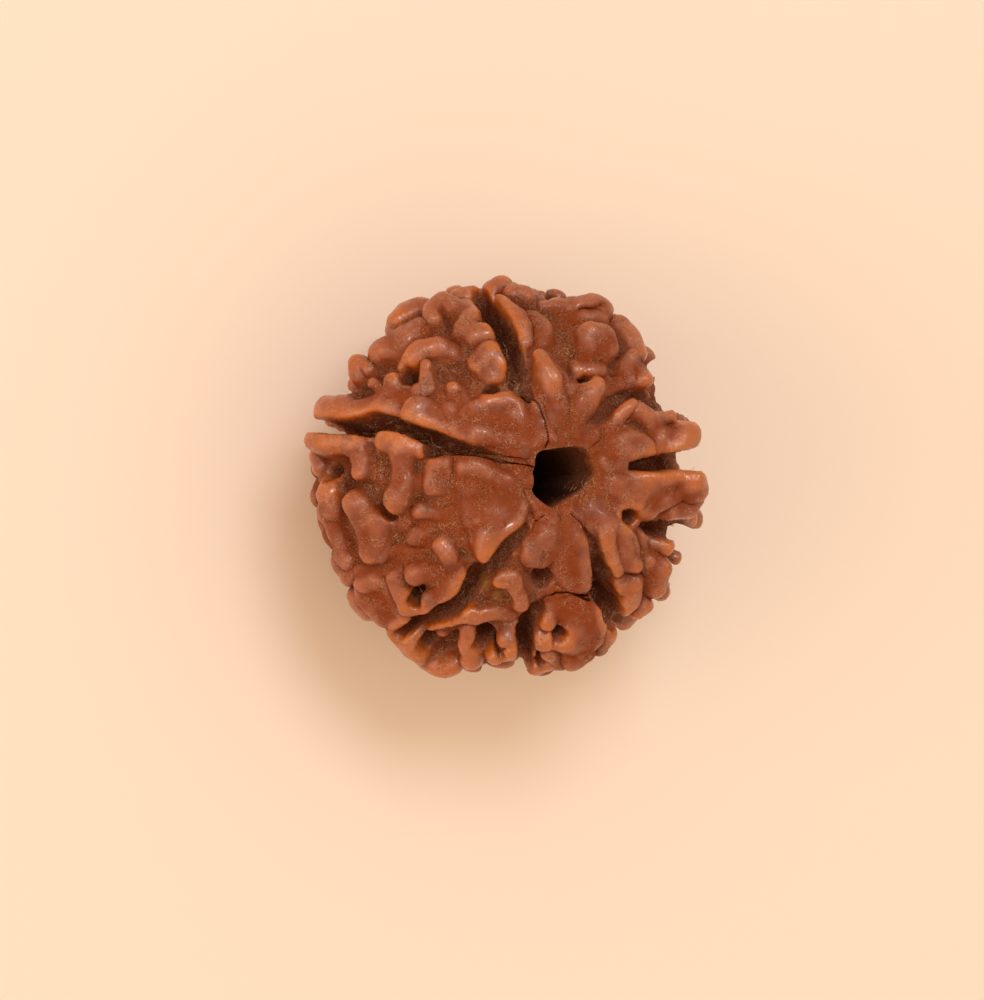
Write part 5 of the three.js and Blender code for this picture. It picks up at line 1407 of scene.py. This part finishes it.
@dataclass
class Debris:
    """Dry fibres and grains of dust that lie in the valleys.

    Attributes:
        fibres: How many fibres.
        grains: How many grains.
        fibre_points: Points along a fibre.
        fibre_radius: Thinnest and thickest, in millimetres.
        fibre_step: Shortest and longest way between two points of a fibre, in millimetres.
        fibre_lean: How far a fibre's axis of bending leans off the surface's normal.
        fibre_bend: Bend from point to point, to either side.
        fibre_lift: How steeply a fibre sinks or rises.
        fibre_taper: Share of its thickness that a fibre loses to its end.
        gap: Height over the stone, in millimetres.
        grain_size: Smallest and largest, in millimetres.
        grain_change: Unevenness of a grain's corners.
        seed: First state of the draws.
    """

    fibres: int = 1300
    grains: int = 1800
    fibre_points: int = 5
    fibre_radius: tuple[float, float] = (0.012, 0.024)
    fibre_step: tuple[float, float] = (0.08, 0.26)
    fibre_lean: float = 0.5
    fibre_bend: float = 0.8
    fibre_lift: tuple[float, float] = (-0.1, 0.35)
    fibre_taper: float = 0.6
    gap: float = 0.02
    grain_size: tuple[float, float] = (0.035, 0.085)
    grain_change: float = 0.35
    seed: int = 577

    def build(self, stone: bpy.types.Object, low: Array) -> list[bpy.types.Object]:
        """Strew the stone.

        Args:
            stone: The finished stone.
            low: How likely debris is to lie at each of its vertices.

        Returns:
            The fibres and the grains, each as one piece.
        """
        draw = np.random.default_rng(self.seed)
        points = MeshTools.points(stone) / MM
        normals = MeshTools.normals(stone)
        chance = low / low.sum()
        at = draw.choice(len(points), self.fibres, p=chance)
        fibres = self._fibres(points[at], normals[at], draw)
        at = draw.choice(len(points), self.grains, p=chance)
        return [fibres, self._grains(points[at], normals[at], draw)]

    def _fibres(self, points: Array, normals: Array, draw: np.random.Generator) -> bpy.types.Object:
        """Lay curled fibres from the given points on."""
        count = len(points)
        heading = np.cross(normals, draw.normal(size=(count, 3)))
        heading /= np.linalg.norm(heading, axis=1, keepdims=True)
        axis = normals + self.fibre_lean * draw.normal(size=(count, 3))
        axis /= np.linalg.norm(axis, axis=1, keepdims=True)
        bend = draw.uniform(-self.fibre_bend, self.fibre_bend, (count, 1))
        step = draw.uniform(*self.fibre_step, (count, 1))
        thick = draw.uniform(*self.fibre_radius, (count, 1))
        lift = draw.uniform(*self.fibre_lift, (count, 1))
        place = points + self.gap * normals
        rings = []
        for order in range(self.fibre_points):
            second = np.cross(axis, heading)
            taper = thick * (1 - self.fibre_taper * (order / (self.fibre_points - 1)) ** 2)
            for turn in (0, 2 * math.pi / 3, 4 * math.pi / 3):
                rings.append(place + taper * (math.cos(turn) * axis + math.sin(turn) * second))
            place = place + step * (heading + lift * normals)
            heading = heading + bend * np.cross(axis, heading)
            heading /= np.linalg.norm(heading, axis=1, keepdims=True)
        vertices = np.stack(rings, axis=1).reshape(-1, 3)
        pattern = [(0, 2, 1)]
        for ring in range(self.fibre_points - 1):
            for side in range(3):
                low, following = 3 * ring + side, 3 * ring + (side + 1) % 3
                pattern += [(low, following, following + 3), (low, following + 3, low + 3)]
        last = 3 * (self.fibre_points - 1)
        pattern.append((last, last + 1, last + 2))
        return self._strewn("seed_fibres", vertices, pattern, count)

    def _grains(self, points: Array, normals: Array, draw: np.random.Generator) -> bpy.types.Object:
        """Drop grains with uneven faces on the given points."""
        count = len(points)
        size = draw.uniform(*self.grain_size, (count, 1, 1)) / 2
        corners = np.array([(1, 0, 0), (-1, 0, 0), (0, 1, 0), (0, -1, 0), (0, 0, 1), (0, 0, -1)])
        corners = corners + self.grain_change * draw.normal(size=(count, 6, 3))
        vertices = (points + self.gap * normals)[:, None] + size * corners
        pattern = [(0, 2, 4), (2, 1, 4), (1, 3, 4), (3, 0, 4), (2, 0, 5), (1, 2, 5), (3, 1, 5), (0, 3, 5)]
        return self._strewn("seed_dust", vertices.reshape(-1, 3), pattern, count)

    @staticmethod
    def _strewn(name: str, vertices: Array, pattern: Sequence[tuple[int, int, int]],
                count: int) -> bpy.types.Object:
        """Make one piece of many small forms that share a pattern of faces."""
        stride = len(vertices) // count
        faces = (np.arange(count)[:, None, None] * stride + np.array(pattern)).reshape(-1, 3)
        mesh = bpy.data.meshes.new(name)
        mesh.from_pydata((vertices * MM).tolist(), [], faces.tolist())
        piece = bpy.data.objects.new(name, mesh)
        bpy.context.scene.collection.objects.link(piece)
        return piece


class Nodes:
    """A small helper that adds and links shader nodes."""

    def __init__(self, tree: bpy.types.NodeTree) -> None:
        """Keep the tree to work in."""
        self.tree = tree
        self.tree.nodes.clear()

    def add(self, kind: str, **settings: object) -> bpy.types.Node:
        """Add a node and set its properties."""
        node = self.tree.nodes.new(kind)
        for name, value in settings.items():
            setattr(node, name, value)
        return node

    def feed(self, socket: bpy.types.NodeSocket, value: object) -> None:
        """Link an output to a socket, or set the socket's value."""
        if isinstance(value, bpy.types.NodeSocket):
            self.tree.links.new(value, socket)
        else:
            socket.default_value = value

    def attribute(self, name: str) -> bpy.types.NodeSocket:
        """Read one number from the mesh."""
        return self.add("ShaderNodeAttribute", attribute_name=name).outputs["Fac"]

    def math(self, operation: str, first: object, second: object = 0.0,
             clamp: bool = False) -> bpy.types.NodeSocket:
        """Work out one operation on two numbers."""
        node = self.add("ShaderNodeMath", operation=operation, use_clamp=clamp)
        self.feed(node.inputs[0], first)
        self.feed(node.inputs[1], second)
        return node.outputs[0]

    def ease(self, value: object, low: float, high: float, to_low: float = 0.0,
             to_high: float = 1.0) -> bpy.types.NodeSocket:
        """Map a number smoothly from one range to another."""
        node = self.add("ShaderNodeMapRange", interpolation_type="SMOOTHSTEP")
        self.feed(node.inputs["Value"], value)
        node.inputs["From Min"].default_value = low
        node.inputs["From Max"].default_value = high
        node.inputs["To Min"].default_value = to_low
        node.inputs["To Max"].default_value = to_high
        return node.outputs["Result"]

    def noise(self, place: object, size: float, detail: float = 2.0,
              roughness: float = 0.5) -> bpy.types.NodeSocket:
        """Noise with features of a size in millimetres."""
        node = self.add("ShaderNodeTexNoise")
        self.feed(node.inputs["Vector"], place)
        node.inputs["Scale"].default_value = 1 / (size * MM)
        node.inputs["Detail"].default_value = detail
        node.inputs["Roughness"].default_value = roughness
        return node.outputs["Fac"]

    def mix(self, share: object, first: object, second: object) -> bpy.types.NodeSocket:
        """Mix two colours."""
        node = self.add("ShaderNodeMix", data_type="RGBA")
        self.feed(node.inputs[0], share)
        self.feed(node.inputs[6], first)
        self.feed(node.inputs[7], second)
        return node.outputs[2]


def rgba(colour: Colour) -> tuple[float, float, float, float]:
    """Give a colour with full alpha."""
    return (*colour.value, 1.0)


Sockets = dict[str, bpy.types.NodeSocket]


@dataclass(frozen=True)
class ShellFinish:
    """Finish of the stone's waxy shell.

    Attributes:
        crest_roughness: Roughness of the polished crests.
        valley_roughness: Roughness of the valleys.
        coat_roughness: Roughness of the wax on the crests.
        grain_depth: Depth of the finest grain, in metres.
        subsurface: How much light goes through the skin.
        glow: How far red, green and blue light go, in metres.
        numbers: What the stone keeps for each vertex.
        noises: Size in millimetres, detail and roughness of each noise.
    """

    crest_roughness: float = 0.26
    valley_roughness: float = 0.85
    coat_roughness: float = 0.16
    grain_depth: float = 0.1 * MM
    subsurface: float = 0.05
    glow: tuple[float, float, float] = (0.8 * MM, 0.3 * MM, 0.15 * MM)
    numbers: tuple[str, ...] = (
        "relief", "cleft", "hollow", "ridge", "edge", "bore", "bore_shade", "mouth", "crease", "crack", "stain")
    noises: tuple[tuple[str, float, float, float], ...] = (
        ("broad", 3.5, 3, 0.6), ("patch", 0.8, 5, 0.7), ("speck", 0.09, 3, 0.7), ("pepper", 0.14, 3, 0.7),
        ("cloud", 1.5, 5, 0.65), ("thread", 0.5, 2, 0.5), ("blotch", 1.7, 4, 0.6), ("clump", 0.9, 4, 0.7),
        ("grain", 0.45, 7, 0.68), ("crumb", 0.09, 3, 0.7))

    def material(self) -> bpy.types.Material:
        """Make the shell's material."""
        material = bpy.data.materials.new("seed_shell")
        material.use_nodes = True
        nodes = Nodes(material.node_tree)
        place = nodes.add("ShaderNodeTexCoord").outputs["Object"]
        at = {name: nodes.attribute(name) for name in self.numbers}
        for name, size, detail, roughness in self.noises:
            at[name] = nodes.noise(place, size, detail, roughness)
        colour = self._waxed(nodes, at)
        colour = self._filmed(nodes, at, colour)
        colour = self._speckled(nodes, at, colour)
        colour = self._marked(nodes, at, colour)
        shader = self._shader(nodes, at, colour)
        output = nodes.add("ShaderNodeOutputMaterial")
        nodes.feed(output.inputs["Surface"], shader.outputs["BSDF"])
        return material

    @staticmethod
    def _waxed(nodes: Nodes, at: Sockets) -> bpy.types.NodeSocket:
        """Colour valleys, flanks and worn crests, and keep how polished each place is."""
        sway = nodes.math("MULTIPLY", nodes.math("SUBTRACT", at["patch"], 0.5), 0.5)
        uneven = nodes.math("ADD", at["relief"], sway)
        colour = nodes.mix(nodes.ease(uneven, 0.15, 0.7), rgba(Colour.VALLEY), rgba(Colour.FLANK))
        edge = nodes.math("MULTIPLY", at["edge"], 0.4)
        crest = nodes.math("ADD", edge, nodes.math("MULTIPLY", at["ridge"], 0.6))
        patch = nodes.math("MULTIPLY", at["patch"], 0.5)
        change = nodes.math("ADD", patch, nodes.math("MULTIPLY", at["broad"], 1.1))
        polish = nodes.math("SUBTRACT", nodes.math("ADD", crest, change), 0.8)
        polish = nodes.math("SUBTRACT", polish, at["mouth"])
        at["polish"] = polish
        colour = nodes.mix(nodes.ease(polish, 0.1, 0.75), colour, rgba(Colour.CREST))
        colour = nodes.mix(nodes.ease(polish, 0.5, 1.2, 0, 0.6), colour, rgba(Colour.CREST_WORN))
        colour = nodes.mix(nodes.ease(at["blotch"], 0.52, 0.68, 0, 0.55), colour, rgba(Colour.BRUISE))
        clouds = nodes.ease(at["cloud"], 0.45, 0.65)
        bloom = nodes.math("MULTIPLY", nodes.ease(at["blotch"], 0.46, 0.3), clouds)
        return nodes.mix(nodes.math("MULTIPLY", bloom, 0.4), colour, rgba(Colour.BLOOM))

    @staticmethod
    def _filmed(nodes: Nodes, at: Sockets, colour: bpy.types.NodeSocket) -> bpy.types.NodeSocket:
        """Lay a dusty film into the valleys and paint shade into the clefts, pits, creases and lowest places,
        and keep both.
        """
        flat = nodes.ease(at["relief"], 0.8, 0.35, 0, 0.8)
        low = nodes.math("ADD", nodes.ease(at["hollow"], -0.15, 0.4), flat)
        film = nodes.math("MULTIPLY", low, nodes.ease(at["cloud"], 0.35, 0.6, 0.3, 1), clamp=True)
        film = nodes.math("MAXIMUM", film, nodes.math("MULTIPLY", at["mouth"], 0.6))
        colour = nodes.mix(nodes.math("MULTIPLY", film, 0.5), colour, rgba(Colour.DUST))
        # Painted shade: near-black in clefts and pits, in creases at the foot of walls and in the lowest
        # places.
        dark = nodes.math("MAXIMUM", nodes.ease(at["cleft"], 0.4, 1.1), nodes.ease(at["relief"], 0.12, -0.3))
        dark = nodes.math("MAXIMUM", dark, nodes.ease(at["crease"], 0.15, 0.8, 0, 0.75))
        at["film"] = film
        at["dark"] = dark
        shade = nodes.math("MULTIPLY", dark, nodes.ease(at["patch"], 0.25, 0.6, 0.95, 0.6))
        return nodes.mix(shade, colour, rgba(Colour.CLEFT))

    @staticmethod
    def _speckled(nodes: Nodes, at: Sockets, colour: bpy.types.NodeSocket) -> bpy.types.NodeSocket:
        """Add dark and light specks and fine hairs where it is dusty."""
        dusty = nodes.math("MAXIMUM", at["film"], nodes.ease(at["clump"], 0.46, 0.6, 0.1, 0.7))
        dusty = nodes.math("MULTIPLY", dusty, nodes.ease(at["clump"], 0.36, 0.6, 0.4, 1))
        # Less dust where the painted shade is deep.
        dusty = nodes.math("MULTIPLY", dusty, nodes.ease(at["dark"], 0.3, 1.0, 1, 0.55))
        peppered = nodes.math("MULTIPLY", nodes.ease(at["pepper"], 0.48, 0.58), dusty)
        colour = nodes.mix(nodes.math("MULTIPLY", peppered, 0.65), colour, rgba(Colour.CLEFT))
        salt = nodes.math("MULTIPLY", nodes.ease(at["speck"], 0.52, 0.61), dusty)
        colour = nodes.mix(nodes.math("MULTIPLY", salt, 0.55), colour, rgba(Colour.SPECK))
        thread = nodes.math("ABSOLUTE", nodes.math("SUBTRACT", at["thread"], 0.5))
        hairs = nodes.math("MULTIPLY", nodes.ease(thread, 0.02, 0.005), nodes.ease(at["pepper"], 0.44, 0.5))
        hairs = nodes.math("MULTIPLY", hairs, dusty)
        return nodes.mix(nodes.math("MULTIPLY", hairs, 0.7), colour, rgba(Colour.FIBRE))

    @staticmethod
    def _marked(nodes: Nodes, at: Sockets, colour: bpy.types.NodeSocket) -> bpy.types.NodeSocket:
        """Paint light on the lit side of the bore's wall, paint shade on its other side and in the cracks,
        and add the stains.
        """
        # Painted light on the lit side of the bore's wall.
        colour = nodes.mix(nodes.math("MULTIPLY", at["bore"], 0.4), colour, rgba(Colour.BORE))
        # Painted shade on the far side of the bore's wall.
        colour = nodes.mix(nodes.math("MULTIPLY", at["bore_shade"], 0.93), colour, rgba(Colour.CRACK))
        colour = nodes.mix(nodes.math("MULTIPLY", at["stain"], 0.8), colour, rgba(Colour.STAIN))
        # Painted shade in the cracks.
        return nodes.mix(nodes.ease(at["crack"], 0.14, 0.55, 0, 0.92), colour, rgba(Colour.CRACK))

    def _shader(self, nodes: Nodes, at: Sockets, colour: bpy.types.NodeSocket) -> bpy.types.Node:
        """Make the shader: waxy and smooth on the crests, dry and rough in the valleys."""
        polish = at["polish"]
        shader = nodes.add("ShaderNodeBsdfPrincipled")
        nodes.feed(shader.inputs["Base Color"], colour)
        rough = nodes.ease(polish, -0.2, 0.6, self.valley_roughness, self.crest_roughness)
        rough = nodes.math("ADD", rough, nodes.ease(at["clump"], 0.4, 0.6, -0.12, 0.12))
        nodes.feed(shader.inputs["Roughness"], rough)
        patchy = nodes.ease(at["clump"], 0.62, 0.42, 0.05, 0.4)
        wax = nodes.math("MULTIPLY", nodes.ease(polish, 0.0, 0.5), patchy)
        nodes.feed(shader.inputs["Coat Weight"], wax)
        shader.inputs["Coat Roughness"].default_value = self.coat_roughness
        waxy = nodes.math("SUBTRACT", nodes.ease(polish, -0.2, 0.5, 0.1, 0.6), at["crack"], clamp=True)
        nodes.feed(shader.inputs["Specular IOR Level"], waxy)
        shader.inputs["Subsurface Weight"].default_value = self.subsurface
        shader.inputs["Subsurface Radius"].default_value = self.glow
        shader.inputs["Subsurface Scale"].default_value = 1.0
        coarse = nodes.math("MULTIPLY", at["crumb"], nodes.ease(at["film"], 0.2, 0.9, 0.1, 0.9))
        bump = nodes.add("ShaderNodeBump")
        bump.inputs["Distance"].default_value = self.grain_depth
        nodes.feed(bump.inputs["Strength"], nodes.ease(polish, -0.1, 0.6, 1.0, 0.65))
        nodes.feed(bump.inputs["Height"], nodes.math("ADD", at["grain"], coarse))
        nodes.feed(shader.inputs["Normal"], bump.outputs["Normal"])
        return shader


@dataclass(frozen=True)
class DebrisFinish:
    """Finish of the fibres and the grains."""

    colour: Colour
    name: str
    roughness: float = 0.8

    def material(self) -> bpy.types.Material:
        """Make a dry material that varies from one bit to the next."""
        material = bpy.data.materials.new(self.name)
        material.use_nodes = True
        nodes = Nodes(material.node_tree)
        place = nodes.add("ShaderNodeTexCoord").outputs["Object"]
        shade = nodes.ease(nodes.noise(place, 0.5, 3, 0.7), 0.42, 0.68)
        shader = nodes.add("ShaderNodeBsdfPrincipled")
        nodes.feed(shader.inputs["Base Color"], nodes.mix(shade, rgba(Colour.FLANK), rgba(self.colour)))
        shader.inputs["Roughness"].default_value = self.roughness
        output = nodes.add("ShaderNodeOutputMaterial")
        nodes.feed(output.inputs["Surface"], shader.outputs["BSDF"])
        return material


@dataclass(frozen=True)
class Lamp:
    """A round, soft light that faces the stone.

    Attributes:
        name: What it is called.
        place: Where it hangs, in metres.
        size: Its width in metres.
        power: Its power in watts.
        colour: Its red, green and blue.
        glossy: Whether it is mirrored in shiny places.
        diffuse: Whether it lights dull places.
    """

    name: str
    place: tuple[float, float, float]
    size: float
    power: float
    colour: tuple[float, float, float]
    glossy: bool = True
    diffuse: bool = True

    def hang(self) -> None:
        """Add the light to the scene."""
        light = bpy.data.lights.new(self.name, "AREA")
        light.shape = "DISK"
        light.size = self.size
        light.energy = self.power
        light.color = self.colour
        lamp = bpy.data.objects.new(self.name, light)
        lamp.location = self.place
        lamp.visible_glossy = self.glossy
        lamp.visible_diffuse = self.diffuse
        lamp.rotation_euler = (-Vector(self.place)).to_track_quat("-Z", "Y").to_euler()
        bpy.context.scene.collection.objects.link(lamp)


# A cool key from above, two small warm lights that only glint in the wax, and a warm fill from the left.
LAMPS = (
    Lamp("key", (-0.03, 0.2, 0.45), 0.2, 0.78, (0.77, 0.88, 1.07), glossy=False),
    Lamp("glint", (-0.12, 0.16, 0.42), 0.05, 0.7, (1.0, 0.93, 0.86), diffuse=False),
    Lamp("spark", (0.16, 0.22, 0.38), 0.05, 0.5, (1.0, 0.93, 0.86), diffuse=False),
    Lamp("fill", (-0.45, -0.05, 0.3), 0.4, 0.78, (1.0, 0.81, 0.63)),
)


@dataclass
class Studio:
    """The pale floor, the soft light and the camera.

    Attributes:
        floor_size: Width of the floor in metres.
        floor_colour: Its red, green, blue and alpha.
        floor_roughness: Its roughness.
        floor_shine: How much it mirrors.
        room_colour: Light from all sides, red, green, blue and alpha.
        room_strength: How strong that light is.
        distance: From the camera to the stone in metres.
        nearest: Nearest distance that the camera sees, in metres.
        frame_height: Height of the picture at the stone in metres.
        aim: Where the frame's middle lies from the stone's middle, across and up, in metres.
    """

    floor_size: float = 1.6
    floor_colour: tuple[float, float, float, float] = (0.93, 0.75, 0.61, 1)
    floor_roughness: float = 0.9
    floor_shine: float = 0.1
    room_colour: tuple[float, float, float, float] = (1.0, 0.81, 0.60, 1)
    room_strength: float = 0.82
    distance: float = 0.6
    nearest: float = 0.01
    frame_height: float = 0.0619
    aim: tuple[float, float] = (-15 / 16 * MM, -22 / 16 * MM)

    def build(self) -> None:
        """Set the stage."""
        self._floor()
        self._lights()
        self._camera()
        bpy.context.scene.view_settings.view_transform = "Standard"

    def _floor(self) -> None:
        """Lay the floor."""
        bpy.ops.object.select_all(action="DESELECT")
        bpy.ops.mesh.primitive_plane_add(size=self.floor_size)
        floor = bpy.context.object
        floor.name = "floor"
        material = bpy.data.materials.new("pale_floor")
        material.use_nodes = True
        shader = material.node_tree.nodes["Principled BSDF"]
        shader.inputs["Base Color"].default_value = self.floor_colour
        shader.inputs["Roughness"].default_value = self.floor_roughness
        shader.inputs["Specular IOR Level"].default_value = self.floor_shine
        floor.data.materials.append(material)

    def _lights(self) -> None:
        """Hang the lamps and light the room evenly."""
        for lamp in LAMPS:
            lamp.hang()
        world = bpy.data.worlds.new("room")
        world.use_nodes = True
        background = world.node_tree.nodes["Background"]
        background.inputs["Color"].default_value = self.room_colour
        background.inputs["Strength"].default_value = self.room_strength
        bpy.context.scene.world = world

    def _camera(self) -> None:
        """Look at the stone along the photograph's line of sight."""
        camera = bpy.data.cameras.new("camera")
        camera.lens = camera.sensor_width * self.distance / self.frame_height
        camera.clip_start = self.nearest
        seat = bpy.data.objects.new("camera", camera)
        middle = -np.array([STONE.middle[0], STONE.middle[1], STONE.foot_level]) * MM
        target = middle + self.aim[0] * RIGHT + self.aim[1] * UP
        turn = Matrix(np.column_stack([RIGHT, UP, TOWARDS]).tolist()).to_4x4()
        seat.matrix_world = Matrix.Translation(Vector(target + self.distance * TOWARDS)) @ turn
        bpy.context.scene.collection.objects.link(seat)
        bpy.context.scene.camera = seat


def main() -> None:
    """Build the scene."""
    logging.basicConfig(level=logging.INFO, format="%(name)s: %(message)s")
    Studio().build()
    relief = Relief()
    stone = Stone(relief).build()
    stone.data.materials.clear()
    stone.data.materials.append(ShellFinish().material())
    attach(stone, BODY)
    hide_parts(NODE)
    finishes = [DebrisFinish(Colour.FIBRE, "dry_fibre"), DebrisFinish(Colour.SPECK, "dust_grain")]
    for piece, finish in zip(Debris().build(stone, MeshTools.painted(stone, "low")), finishes):
        piece.data.materials.append(finish.material())
        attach(piece, BODY)


if __name__ == "__main__":
    main()
